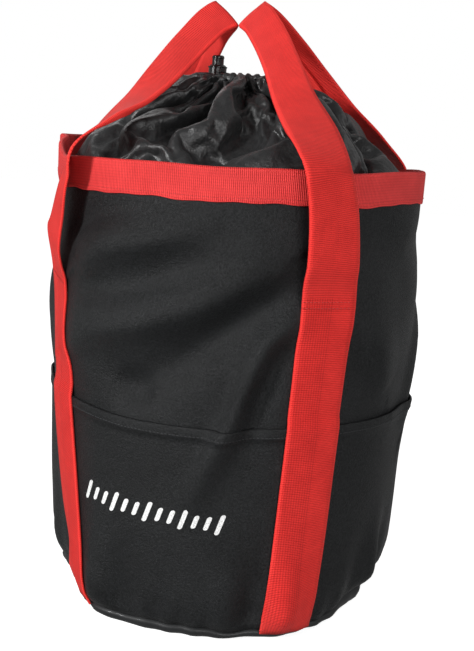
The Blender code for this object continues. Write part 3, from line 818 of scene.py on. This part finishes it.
def make_rim(looks):
    """Webbing folded over the mouth's edge, with its stitching."""
    azimuth = around(300)
    outer_off, inner_off = GAP + PANEL / 2, -CLOTH - GAP - PANEL / 2
    low = RIM_HEIGHT - BINDING_DROP
    wave = 0.0004 * ripple(azimuth, 51, (13, 21, 34), 0.0)
    section = [(outer_off, low + 0.0001)]
    section += [(outer_off, z) for z in np.linspace(low + 0.002, RIM_HEIGHT - 0.0024, 9)]
    middle = (outer_off + inner_off) / 2
    half = (outer_off - inner_off) / 2
    for angle in np.linspace(20, 160, 6):
        a = math.radians(angle)
        section.append((middle + half * math.cos(a), RIM_HEIGHT - 0.0024 + (0.0024 - PANEL / 2) * math.sin(a)))
    section += [(inner_off, z) for z in np.linspace(RIM_HEIGHT - 0.0024, low + 0.001, 8)]
    rows = []
    for off, z in section:
        z = z + 0 * azimuth + (wave if z < low + 0.004 else 0.0)
        rows.append(polar(wall(azimuth, np.minimum(z, RIM_HEIGHT)) + off, azimuth,
                          z + lift(azimuth, z)))
    middle_grid = np.array(rows)
    across = running(lengths(middle_grid).mean(1))
    v = np.repeat((across - WEBBING * 0.5)[:, None], 300, 1)
    u = np.radians(azimuth)[None, :] * RIM_RADIUS + 0 * v
    band = ribbon("rim_band", middle_grid, PANEL, looks["rim_webbing"], True, u, v)
    settle(band, "red_webbing", "bag", "rim_binding")
    dense = around(420)
    normals = polar(1.0, dense, 0.0)
    for name, height, off in (("rim_thread_low", low + 0.0034, outer_off + PANEL / 2),
                              ("rim_thread_inside", low + 0.0044, inner_off - PANEL / 2)):
        path = on_wall(dense, height + 0 * dense, off)
        thread = stitches(name, path, normals if off > 0 else -normals, looks["thread_red"],
                          0.0031, 0.0020, 0.0007, 0.0004, closed=True)
        settle(thread, "red_webbing", "bag")


# ---- straps and handles ---------------------------------------------------------------------
STANDARD_LEG = [
    ((0.1165, 0.1165, 0.2900), (0.707, 0.707, 0.0), WEBBING),
    ((0.1190, 0.1195, 0.3070), (0.66, 0.75, 0.0), WEBBING),
    ((0.1180, 0.1225, 0.3370), (0.60, 0.80, 0.0), WEBBING),
    ((0.1150, 0.1250, 0.3600), (0.55, 0.835, 0.0), WEBBING),
    ((0.1095, 0.1240, 0.3790), (0.52, 0.85, 0.05), WEBBING),
]
RIGHT_TOP = [
    ((0.0935, 0.1080, 0.4010), (0.52, 0.80, 0.20), 0.041),
    ((0.0690, 0.0810, 0.4260), (0.60, 0.62, 0.35), 0.032),
    ((0.0475, 0.0525, 0.4530), (0.68, 0.42, 0.48), 0.028),
    ((0.0290, 0.0300, 0.4750), (0.73, 0.25, 0.56), 0.028),
    ((0.0110, 0.0120, 0.4930), (0.76, 0.10, 0.62), 0.028),
    ((0.0002, 0.0000, 0.4995), (0.77, 0.00, 0.64), 0.028),
]
RIGHT_BACK_TOP = [
    ((0.0880, 0.1130, 0.4010), (0.52, 0.80, 0.20), 0.041),
    ((0.0640, 0.0870, 0.4250), (0.60, 0.62, 0.35), 0.032),
    ((0.0440, 0.0580, 0.4510), (0.68, 0.42, 0.48), 0.028),
    ((0.0270, 0.0335, 0.4735), (0.73, 0.25, 0.56), 0.028),
    ((0.0108, 0.0135, 0.4922), (0.76, 0.10, 0.62), 0.028),
]
LEFT_FRONT_LEG = [
    ((0.1210, 0.1100, 0.2900), (0.668, 0.744, 0.0), WEBBING),
    ((0.1140, 0.1225, 0.3080), (0.65, 0.76, 0.0), WEBBING),
    ((0.1030, 0.1335, 0.3370), (0.62, 0.78, 0.0), WEBBING),
    ((0.0925, 0.1420, 0.3610), (0.53, 0.85, 0.0), WEBBING),
    ((0.0865, 0.1435, 0.3800), (0.45, 0.89, 0.02), WEBBING),
]
LEFT_TOP = [
    ((0.0735, 0.1190, 0.4000), (0.42, 0.90, 0.08), 0.040),
    ((0.0620, 0.0880, 0.4210), (0.55, 0.74, 0.30), 0.034),
    ((0.0520, 0.0600, 0.4460), (0.68, 0.42, 0.48), 0.028),
    ((0.0440, 0.0320, 0.4705), (0.73, 0.25, 0.56), 0.028),
    ((0.0330, 0.0125, 0.4915), (0.76, 0.10, 0.62), 0.028),
    ((0.0247, 0.0000, 0.4995), (0.77, 0.00, 0.64), 0.028),
]
LEFT_BACK_TOP = [
    ((0.1060, 0.1020, 0.4040), (0.56, 0.80, 0.20), 0.041),
    ((0.0930, 0.0780, 0.4235), (0.62, 0.62, 0.35), 0.032),
    ((0.0780, 0.0560, 0.4450), (0.70, 0.42, 0.48), 0.028),
    ((0.0600, 0.0350, 0.4670), (0.74, 0.25, 0.56), 0.028),
    ((0.0400, 0.0140, 0.4880), (0.76, 0.10, 0.62), 0.028),
]
ACROSS = 19


def strap_offset(height):
    over_pocket = 1.0 - smooth((height - POCKET_TOP - 0.001) / 0.010)
    return 2 * GAP + (PANEL + GAP + 0.0005) * over_pocket + WEBBING_THICK / 2


def sewn_rows(corner, count=56):
    """Middle points of the sewn part, from the base seam up, across from -azimuth to +azimuth."""
    foot, head = STRAP_AZIMUTHS[corner]
    low = hem_line(np.float64(foot)) - 0.0012
    rows = []
    for z in np.linspace(low, ATTACH_HEIGHT, count):
        azimuth = foot + (head - foot) * max(z, 0) / ATTACH_HEIGHT
        spread = np.degrees(WEBBING / 2 / cad_radius(z))
        line = azimuth + np.linspace(-1, 1, ACROSS) * spread
        lean = (hem_line(line) - hem_line(np.float64(foot))) * (1 - smooth((z - low) / 0.06))
        rows.append(on_wall(line, z + lean, strap_offset(z)))
    return rows


def folded_line(section):
    """Points across a free section: the face, then what is folded under its inner edge.

    They run from the outer edge to the inner one, and on round the fold."""
    place, across, along, width = section
    out = np.cross(across, along)
    out = out / np.linalg.norm(out)
    flap = max(WEBBING - width, 0.0)
    bend = 0.00125 * float(smooth(flap / 0.006)) + 1e-5
    turn = min(math.pi * bend, flap * 0.5)
    angle = turn / bend
    rest = max(flap - turn, 0.0)
    spots = []
    crown = 0.0010
    for s in np.linspace(1, -1, 11):
        spots.append((s * width / 2, crown * (1 - s * s)))
    x, y = -width / 2, 0.0
    for k in range(1, 5):
        a = angle * k / 4
        spots.append((x - bend * math.sin(a), y - bend * (1 - math.cos(a))))
    end_x, end_y = spots[-1]
    for k in range(1, 5):
        spots.append((end_x - rest * k / 4 * math.cos(angle), end_y - rest * k / 4 * math.sin(angle)))
    return np.array([place + across * a + out * b for a, b in spots])


def make_strap_loop(name, front_corner, back_corner, front_sections, back_sections, side, looks):
    """One length of webbing: sewn up the front, over as the handle, and sewn down the back."""
    # across the front leg from its outer edge to its inner one; the back leg mirrors it
    front, back = ([(side * p[0], way * p[1], p[2], side * a[0], -way * a[1], a[2], width)
                    for p, a, width in sections]
                   for way, sections in ((-1, front_sections), (1, back_sections)))
    run = through(front + back[::-1], 7)
    rows = []
    for k, section in enumerate(run):
        ahead = run[min(k + 1, len(run) - 1)][:3] - run[max(k - 1, 0)][:3]
        along = ahead / np.linalg.norm(ahead)
        across = section[3:6] - along * (section[3:6] @ along)
        across = across / np.linalg.norm(across)
        if side < 0:
            along = -along
        rows.append(folded_line((section[:3], across, along, section[6])))
    # the sewn legs run across the other way from the loop's order on one side
    front_rows = [r if side > 0 else r[::-1] for r in sewn_rows(front_corner)]
    back_rows = [r[::-1] if side > 0 else r for r in sewn_rows(back_corner)]
    front_rows = match(front_rows, rows[0])
    back_rows = match(back_rows, rows[-1])
    middle = np.array(front_rows + rows + back_rows[::-1])
    middle = soften(middle, len(front_rows), len(rows))
    u = np.repeat(running(lengths(middle[:, 5]))[:, None], ACROSS, 1)
    across = running(lengths(middle[20]))
    v = np.repeat((across[-1] / 2 - across)[None, :], len(middle), 0)
    made = ribbon(name, middle, WEBBING_THICK, looks["red_webbing"], False, u, v)
    flip_outward(made)
    crossing(name, middle, len(front_rows), looks)
    handle = "handle_right" if side > 0 else "handle_left"
    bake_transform(made)
    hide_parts("strap_" + front_corner, "strap_" + back_corner, handle)


def crossing(name, middle, first, looks):
    """Thread where the sewn length of webbing ends: two rows straight across, front and back; their dark red is
    also painted shade of the crease there.
    """
    normal = grid_normals(middle)
    for k, row in enumerate((first - 2, len(middle) - first + 1)):
        face, up = middle[row], normal[row]
        outward = face.mean(0) - np.array([0, 0, face.mean(0)[2]])
        if float(up.mean(0) @ outward) < 0:
            up = -up
        for j, drop in enumerate((0.0, -0.0045)):
            # dark red thread rows, partly real stitching and partly painted shade of the crease
            path = face + up * (WEBBING_THICK / 2 + 0.0001) + UP * drop
            thread = stitches("%s_cross_%d%d" % (name, k, j), path[1:-1], up[1:-1],
                              looks["thread_red"], 0.0030, 0.0021, 0.0008, 0.00045)
            settle(thread, "red_webbing", "bag")


def match(rows, edge):
    """Spread each row's points as the free loop's first section does, and the same way round."""
    share = running(lengths(edge))
    share = share / share[-1]
    if np.linalg.norm(rows[-1][0] - edge[0]) > np.linalg.norm(rows[-1][-1] - edge[0]):
        rows = [r[::-1] for r in rows]
    even = np.linspace(0, 1, ACROSS)
    return [np.stack([np.interp(share, even, r[:, k]) for k in range(3)], -1) for r in rows]


def soften(middle, first, free):
    """Ease the joins between the sewn and the free webbing."""
    for centre in (first, first + free):
        for _ in range(10):
            low, high = centre - 5, centre + 5
            part = middle[low - 1:high + 1]
            middle[low:high] = middle[low:high] * 0.5 + (part[:-2] + part[2:]) * 0.25
    return middle


# ---- collar ---------------------------------------------------------------------------------
SKIRT, SKIRT_FOOT = 0.205, 0.352        # length of the nylon, and where it is sewn inside the mouth
SKIRT_COLUMNS, SKIRT_ROWS = 176, 32
DRAW_END, SIM_END = 26, 62              # frames


def skirt_grids():
    """The flat skirt as a tube, and the same points once its hem is drawn together."""
    azimuth = around(SKIRT_COLUMNS)
    draw = np.random.default_rng(7)
    pleats = 12
    spots = np.cumsum(1 + 0.45 * draw.standard_normal(pleats).clip(-1, 1))
    spots = np.concatenate([[0], spots / spots[-1] * 360.0])
    phase = np.interp(azimuth, spots, np.arange(pleats + 1) * 2 * np.pi)
    hem_radius = 0.0215 + 0.0045 * np.cos(phase)
    hem_height = 0.4400 + 0.0015 * np.cos(phase + 1.3)
    share = np.linspace(0, 1, SKIRT_ROWS + 1)[:, None]
    uneven = 0.0
    for k in range(3, 26):
        size, turn, slant = draw.standard_normal() * 0.5, draw.uniform(0, 2 * np.pi), draw.uniform(-9, 9)
        uneven = uneven + size * np.cos(k * np.radians(azimuth)[None, :] + turn + slant * share)
    uneven = 0.0012 * uneven * np.sin(np.pi * share)
    grid = azimuth[None, :] + 0 * share
    tube = polar(COLLAR_RADIUS + uneven, grid, SKIRT_FOOT + SKIRT * share)
    drawn = polar(COLLAR_RADIUS + (hem_radius - COLLAR_RADIUS) * share, grid,
                  SKIRT_FOOT + (hem_height - SKIRT_FOOT) * share)
    drawn[0] = tube[0]
    return tube, drawn


def skirt_mesh(name, grid):
    columns, rows = SKIRT_COLUMNS, SKIRT_ROWS
    mesh = bpy.data.meshes.new(name)
    faces = []
    for j in range(rows):
        for i in range(columns):
            k = (i + 1) % columns
            faces.append((j * columns + i, j * columns + k, (j + 1) * columns + k, (j + 1) * columns + i))
    mesh.from_pydata(grid.reshape(-1, 3).tolist(), [], faces)
    mesh.polygons.foreach_set("use_smooth", [True] * len(mesh.polygons))
    return link(name, mesh)


def guides():
    """What holds the cloth down while it settles: the handles' legs and the cord lock's place."""
    plates = []
    for side, way, leg in ((1, -1, STANDARD_LEG + RIGHT_TOP), (1, 1, STANDARD_LEG + RIGHT_BACK_TOP),
                           (-1, -1, LEFT_FRONT_LEG + LEFT_TOP), (-1, 1, STANDARD_LEG + LEFT_BACK_TOP)):
        rows = []
        for place, across, width in leg[3:9]:
            place = np.array([side * place[0], way * place[1], place[2]])
            across = np.array([side * across[0], -way * across[1], across[2]])
            across = across / np.linalg.norm(across)
            rows.append([place + across * width / 2 * t for t in (-1, -0.33, 0.33, 1)])
        plates.append(np.array(rows))
    plates.append(np.array([[OUT * reach + ASIDE * s + UP * (0.4325 - 0.10 * max(reach - 0.06, 0))
                             for s in (-0.018, 0.0, 0.018, 0.034)]
                            for reach in (0.024, 0.040, 0.056, 0.072, 0.086)]))
    made = []
    for k, rows in enumerate(plates):
        mesh = bpy.data.meshes.new("guide")
        faces = [(4 * j + i, 4 * j + i + 1, 4 * j + i + 5, 4 * j + i + 4)
                 for j in range(len(rows) - 1) for i in range(3)]
        mesh.from_pydata(rows.reshape(-1, 3).tolist(), [], faces)
        plate = link("guide", mesh)
        plate.modifiers.new("solid", "COLLISION")
        plate.collision.thickness_outer = plate.collision.thickness_inner = 0.004
        for height, when in ((0.3, 1), (0.3, DRAW_END + 2), (0.0, DRAW_END + 16)):
            plate.location.z = height
            plate.keyframe_insert("location", frame=when)
        made.append(plate)
    return made


def gather_cloth():
    """Draw the skirt's hem together with Blender's cloth, and return where its points end."""
    tube, drawn = skirt_grids()
    cloth = skirt_mesh("skirt", tube)
    cloth.shape_key_add(name="Basis")
    key = cloth.shape_key_add(name="drawn")
    key.data.foreach_set("co", drawn.reshape(-1).astype(np.float32))
    for value, when in ((0.0, 1), (1.0, DRAW_END)):
        key.value = value
        key.keyframe_insert("value", frame=when)
    columns, rows = SKIRT_COLUMNS, SKIRT_ROWS
    group = cloth.vertex_groups.new(name="sewn")
    group.add(list(range(2 * columns)) + list(range(rows * columns, (rows + 1) * columns)), 1.0, "REPLACE")
    modifier = cloth.modifiers.new("cloth", "CLOTH")
    setup = modifier.settings
    setup.vertex_group_mass = "sewn"
    setup.quality, setup.mass, setup.air_damping, setup.pin_stiffness = 6, 0.12, 2.0, 5.0
    setup.tension_stiffness = setup.compression_stiffness = 12.0
    setup.shear_stiffness, setup.bending_stiffness, setup.bending_damping = 6.0, 0.25, 0.5
    setup.tension_damping = setup.compression_damping = 5.0
    setup.use_pressure = True
    touch = modifier.collision_settings
    touch.use_collision = touch.use_self_collision = True
    touch.distance_min, touch.self_distance_min, touch.collision_quality = 0.003, 0.002, 2
    scene = bpy.context.scene
    scene.frame_start, scene.frame_end = 1, SIM_END
    modifier.point_cache.frame_start, modifier.point_cache.frame_end = 1, SIM_END
    for when, pull, push in ((1, -4.9, 0.8), (DRAW_END + 16, -4.9, 0.8),
                             (DRAW_END + 20, 2.4, 4.0), (SIM_END, 2.4, 4.0)):
        scene.gravity = (0, 0, pull)
        scene.keyframe_insert("gravity", frame=when)
        setup.uniform_pressure_force = push
        setup.keyframe_insert("uniform_pressure_force", frame=when)
    plates = guides()
    for when in range(1, SIM_END + 1):
        scene.frame_set(when)
    state = cloth.evaluated_get(bpy.context.evaluated_depsgraph_get())
    points = np.array([v.co for v in state.data.vertices]).reshape(rows + 1, columns, 3)
    scene.animation_data_clear()
    for made in [cloth, *plates]:
        made.animation_data_clear()
        bpy.data.objects.remove(made, do_unlink=True)
    for action in list(bpy.data.actions):
        bpy.data.actions.remove(action)
    scene.frame_set(1)
    return points


def make_room(points):
    """Move the nylon towards the inside of the binding, and down where the cord lock travels."""
    azimuth = np.degrees(np.arctan2(points[..., 0], -points[..., 1])) % 360.0
    radius = np.hypot(points[..., 0], points[..., 1])
    height = points[..., 2]
    inside = wall(azimuth, np.clip(height, 0.3, RIM_HEIGHT - 0.002)) - CLOTH - GAP - PANEL - 0.0016
    inside = inside + np.maximum(height - RIM_HEIGHT - rim_lift(azimuth) - 0.001, 0) * 1.5
    points[..., :2] *= np.minimum(1.0, inside / radius)[..., None]
    reach, across = points @ OUT, points @ ASIDE
    beyond = np.hypot(np.maximum(np.maximum(0.024 - reach, reach - 0.068), 0),
                      np.maximum(np.abs(across - 0.006) - 0.019, 0))
    ceiling = 0.4303 + 0.0085 * (1 - smooth((reach - 0.0235) / 0.008)) + 1.4 * beyond
    over = np.maximum(points[..., 2] - ceiling, 0)
    over[-3:] = 0
    points[..., 2] -= 0.97 * over
    return points


def make_collar(looks):
    points = make_room(gather_cloth())
    collar = skirt_mesh("collar_skirt", points)
    layer = collar.data.uv_layers.new(name="metres")
    step_u, step_v = 2 * math.pi * COLLAR_RADIUS / SKIRT_COLUMNS, SKIRT / SKIRT_ROWS
    corners = [((i + di) * step_u, (j + dj) * step_v)
               for j in range(SKIRT_ROWS) for i in range(SKIRT_COLUMNS)
               for di, dj in ((0, 0), (1, 0), (1, 1), (0, 1))]
    layer.data.foreach_set("uv", np.array(corners, np.float32).ravel())
    collar.data.materials.append(looks["collar_nylon"])
    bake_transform(collar)
    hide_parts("collar")
    finer = collar.modifiers.new("finer", "SUBSURF")
    finer.levels = finer.render_levels = 2
    shell = collar.modifiers.new("nylon", "SOLIDIFY")
    shell.thickness, shell.offset = 0.0006, 0.0


def make_hem(looks):
    """The ruffled cord channel, open where the two tails come out."""
    turns = np.linspace(EXIT_AZIMUTH + EXIT_ANGLE + 3, EXIT_AZIMUTH + 360 - EXIT_ANGLE - 3, 150)
    folds = np.cos(np.radians(turns) * 17 + 1.2 * np.sin(np.radians(turns) * 3))
    small = np.cos(np.radians(turns) * 41 + 2.0)
    rings = []
    for k in range(18):
        angle = 2 * math.pi * k / 18
        out = 0.0040 + 0.0009 * folds + 0.0003 * small
        tall = 0.0048 + 0.0008 * folds * math.sin(angle)
        radius = RING_RADIUS + out * math.cos(angle) + 0.0010 * folds
        height = RING_HEIGHT + tall * math.sin(angle) + 0.0008 * small * math.cos(angle)
        rings.append(polar(radius, turns, height))
    outer = np.array(rings).transpose(1, 0, 2)
    centre = outer.mean(1, keepdims=True)
    inner = centre + (outer - centre) * 0.86
    u = np.radians(turns)[:, None] * 0.15 + 0 * outer[..., 0]
    v = np.arange(18)[None, :] * 0.0015 + 0 * u
    hem = slab("collar_hem_ruffle", outer, inner, looks["collar_nylon"], (u, v), closed=True)
    flip_outward(hem)
    settle(hem, "collar_nylon", "collar", "collar_hem")


# ---- drawcord and lock ----------------------------------------------------------------------
def tube_mesh(name, path, diameter, look, sides=14):
    """A round cord with flat-domed ends along a path; its uv is in metres."""
    path = np.asarray(path, float)
    ahead = np.gradient(path, axis=0)
    ahead /= np.linalg.norm(ahead, axis=1, keepdims=True)
    side = np.cross(ahead[0], [0.0, 0.0, 1.0])
    side /= np.linalg.norm(side)
    run = running(lengths(path))
    points, faces, uvs = [], [], []
    for k, (place, way) in enumerate(zip(path, ahead)):
        side = side - way * (side @ way)
        side /= np.linalg.norm(side)
        up = np.cross(way, side)
        for i in range(sides):
            angle = 2 * math.pi * i / sides
            points.append(place + (side * math.cos(angle) + up * math.sin(angle)) * diameter / 2)
    around_it = math.pi * diameter
    for k in range(len(path) - 1):
        for i in range(sides):
            j = (i + 1) % sides
            faces.append((k * sides + i, k * sides + j, (k + 1) * sides + j, (k + 1) * sides + i))
            v0, v1 = around_it * i / sides, around_it * (i + 1) / sides
            uvs.append(((run[k], v0), (run[k], v1), (run[k + 1], v1), (run[k + 1], v0)))
    for first, way, flip in ((0, -ahead[0], True), ((len(path) - 1) * sides, ahead[-1], False)):
        tip = len(points)
        points.append(path[0 if flip else -1] + way * diameter * 0.22)
        for i in range(sides):
            j = (i + 1) % sides
            face = (first + i, first + j, tip)
            faces.append(face[::-1] if flip else face)
            uvs.append(((0, 0), (0.001, 0), (0, 0.001)))
    made = add(name, points, faces, uvs, look)
    flip_outward(made)
    return made


def tail_route(side):
    exit_angle = math.radians(EXIT_ANGLE)
    spread = CORD_SPREAD * side
    turn = 0.0098 - spread
    route = [
        (RING_RADIUS * math.cos(exit_angle), side * RING_RADIUS * math.sin(exit_angle), RING_HEIGHT),
        (0.0200, side * 0.0071, 0.4436), (0.0228, side * 0.0043, 0.4452),
        (0.0262, side * 0.0030, 0.4474), (0.0300, spread, CORD_HEIGHT), (0.0400, spread, CORD_HEIGHT),
        (0.0500, spread, CORD_HEIGHT), (0.0615, spread, CORD_HEIGHT - 0.0002),
    ]
    drop = (0.4465, 0.4415, 0.4370, 0.4350, 0.4350)
    for k, height in enumerate(drop):
        angle = math.radians(180.0 * (k + 1) / len(drop))
        route.append((0.0625 + turn * math.sin(angle), 0.0098 - turn * math.cos(angle), height))
    route.append((0.0540, 0.0196 - spread, 0.4372))
    route.append((0.0468, 0.0196 - spread * 0.9, 0.4400))
    return through([OUT * o + ASIDE * s + UP * z for o, s, z in route], 6)


def make_cord(looks):
    start = EXIT_ANGLE + 1.2
    turns = np.linspace(EXIT_AZIMUTH + start, EXIT_AZIMUTH + 360 - start, 90)
    ring = tube_mesh("cord_in_hem", polar(RING_RADIUS, turns, RING_HEIGHT), CORD, looks["cord"])
    settle(ring, "cord", "collar", "drawcord_ring")

    centre = OUT * 0.0386 + ASIDE * 0.0196 + UP * 0.4413
    t = np.linspace(0, 2 * np.pi, 121)
    loops = np.stack([np.sin(t) + 2 * np.sin(2 * t), np.cos(t) - 2 * np.cos(2 * t), -np.sin(3 * t)], -1)
    loops = loops * [0.00178, 0.00160, 0.0023]
    path = centre + loops[:, :1] * OUT + loops[:, 1:2] * ASIDE + loops[:, 2:] * UP
    knot = tube_mesh("cord_knot", path, CORD * 0.92, looks["cord"])
    settle(knot, "cord", "collar", "drawcord_knot")
    for name, side, node in (("cord_tail_a", 1, "drawcord_tail_a"), ("cord_tail_b", -1, "drawcord_tail_b")):
        route = tail_route(side)
        length = float(np.linalg.norm(np.diff(route, axis=0), axis=1).sum())
        tail = tube_mesh(name, route, CORD, looks["cord"])
        settle(tail, "cord", "collar", node)


def turned(name, profile, look, centre, steps=40):
    """A body of revolution about an upright axis through centre, closed at the axis."""
    points, faces = [], []
    for r, z in profile:
        for i in range(steps):
            angle = 2 * math.pi * i / steps
            points.append((centre[0] + max(r, 1e-5) * math.cos(angle),
                           centre[1] + max(r, 1e-5) * math.sin(angle), z))
    count = len(profile)
    for k in range(count):
        for i in range(steps):
            j, n = (i + 1) % steps, (k + 1) % count
            faces.append((k * steps + i, k * steps + j, n * steps + j, n * steps + i))
    made = add(name, points, faces, None, look)
    flip_outward(made)
    return made


def make_lock(looks):
    """Moulded details on the cord lock: grip rings on the barrel and a dished cap on the button."""
    place = polar(LOCK_OUT, EXIT_AZIMUTH, 0.0)
    for k, z in enumerate((0.4424, 0.4552)):
        ring = []
        for i in range(10):
            angle = 2 * math.pi * i / 10
            ring.append((LOCK_RADIUS - 0.0001 + 0.0007 * math.cos(angle), z + 0.0007 * math.sin(angle)))
        band = turned("cord_lock_band_%d" % (k + 1), ring, looks["lock_plastic"], place)
        settle(band, "lock_plastic", "cord_lock")
    dish = [(0.0, 0.0006), (0.0022, 0.0008), (0.0036, 0.0014), (0.0046, 0.0013), (0.0053, 0.0004),
            (0.0055, -0.0008), (0.0050, -0.0018), (0.0030, -0.0019), (0.0, -0.0019)]
    cap = turned("cord_lock_cap", [(r, BUTTON_TOP + z) for r, z in dish], looks["lock_plastic"],
                 place)
    settle(cap, "lock_plastic", "lock_button")
    coil = []
    wire, radius, turns = 0.0006, 0.0036, 3
    for k in range(turns * 28 + 1):
        angle = 2 * math.pi * k / 28
        height = SPRING_FOOT + wire / 2 + (SPRING_HEAD - SPRING_FOOT - wire) * k / (turns * 28)
        coil.append(place + [radius * math.cos(angle), radius * math.sin(angle), height])
    spring = tube_mesh("lock_coil", coil, wire, looks["spring_steel"], 8)
    settle(spring, "spring_steel", "cord_lock", "cord_lock_spring")
    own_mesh(spring)
    for name, look in (("cord_lock_body", "lock_plastic"), ("cord_lock_button", "lock_plastic"),
                       ("tie_loop", "seam_tape")):
        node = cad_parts[name]
        node.data.materials.clear()
        node.data.materials.append(looks[look])
        if name.startswith("cord_lock_b"):
            edge = node.modifiers.new("edge", "BEVEL")
            edge.width, edge.segments, edge.limit_method = 0.00035, 2, "ANGLE"


def make_print(looks):
    """A plain row of slanted strokes low on the front pocket."""
    strokes = 13
    points, faces = [], []
    for k in range(strokes):
        centre = -21.0 + 41.0 * k / (strokes - 1)
        z = 0.1105 - 0.0085 * k / (strokes - 1)
        half = 0.0056 if k % 3 else 0.0082
        wide = 0.0019
        outline = []
        for i in range(20):
            angle = 2 * math.pi * i / 20
            x, y = wide * math.cos(angle), wide * math.sin(angle)
            y += (half - wide) * (1 if math.sin(angle) >= 0 else -1)
            outline.append((x + 0.32 * y, y))
        start = len(points)
        for lift_off in (0.00002, 0.00028):
            for x, y in outline:
                azimuth = centre + math.degrees(x / 0.158)
                off = pocket_offset(np.float64(azimuth), np.float64(z + y), *POCKET_AZIMUTHS["front"]) + PANEL
                points.append(on_wall(azimuth, z + y, off + lift_off))
        faces.append(tuple(start + 20 + i for i in range(20)))
        faces.append(tuple(start + 19 - i for i in range(20)))
        for i in range(20):
            j = (i + 1) % 20
            faces.append((start + i, start + j, start + 20 + j, start + 20 + i))
    made = add("front_print", points, faces, None, looks["print_white"], False)
    flip_outward(made)
    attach(made, "bag")


def main():
    make_camera()
    make_studio()
    looks = make_looks()
    make_cord(looks)
    make_body(looks)
    make_base(looks)
    make_inside(looks)
    make_pockets(looks)
    make_rim(looks)
    make_strap_loop("webbing_right", "front_right", "back_right", STANDARD_LEG + RIGHT_TOP,
                    STANDARD_LEG + RIGHT_BACK_TOP, 1, looks)
    make_strap_loop("webbing_left", "front_left", "back_left", LEFT_FRONT_LEG + LEFT_TOP,
                    STANDARD_LEG + LEFT_BACK_TOP, -1, looks)
    make_collar(looks)
    make_hem(looks)
    make_lock(looks)
    make_print(looks)


main()
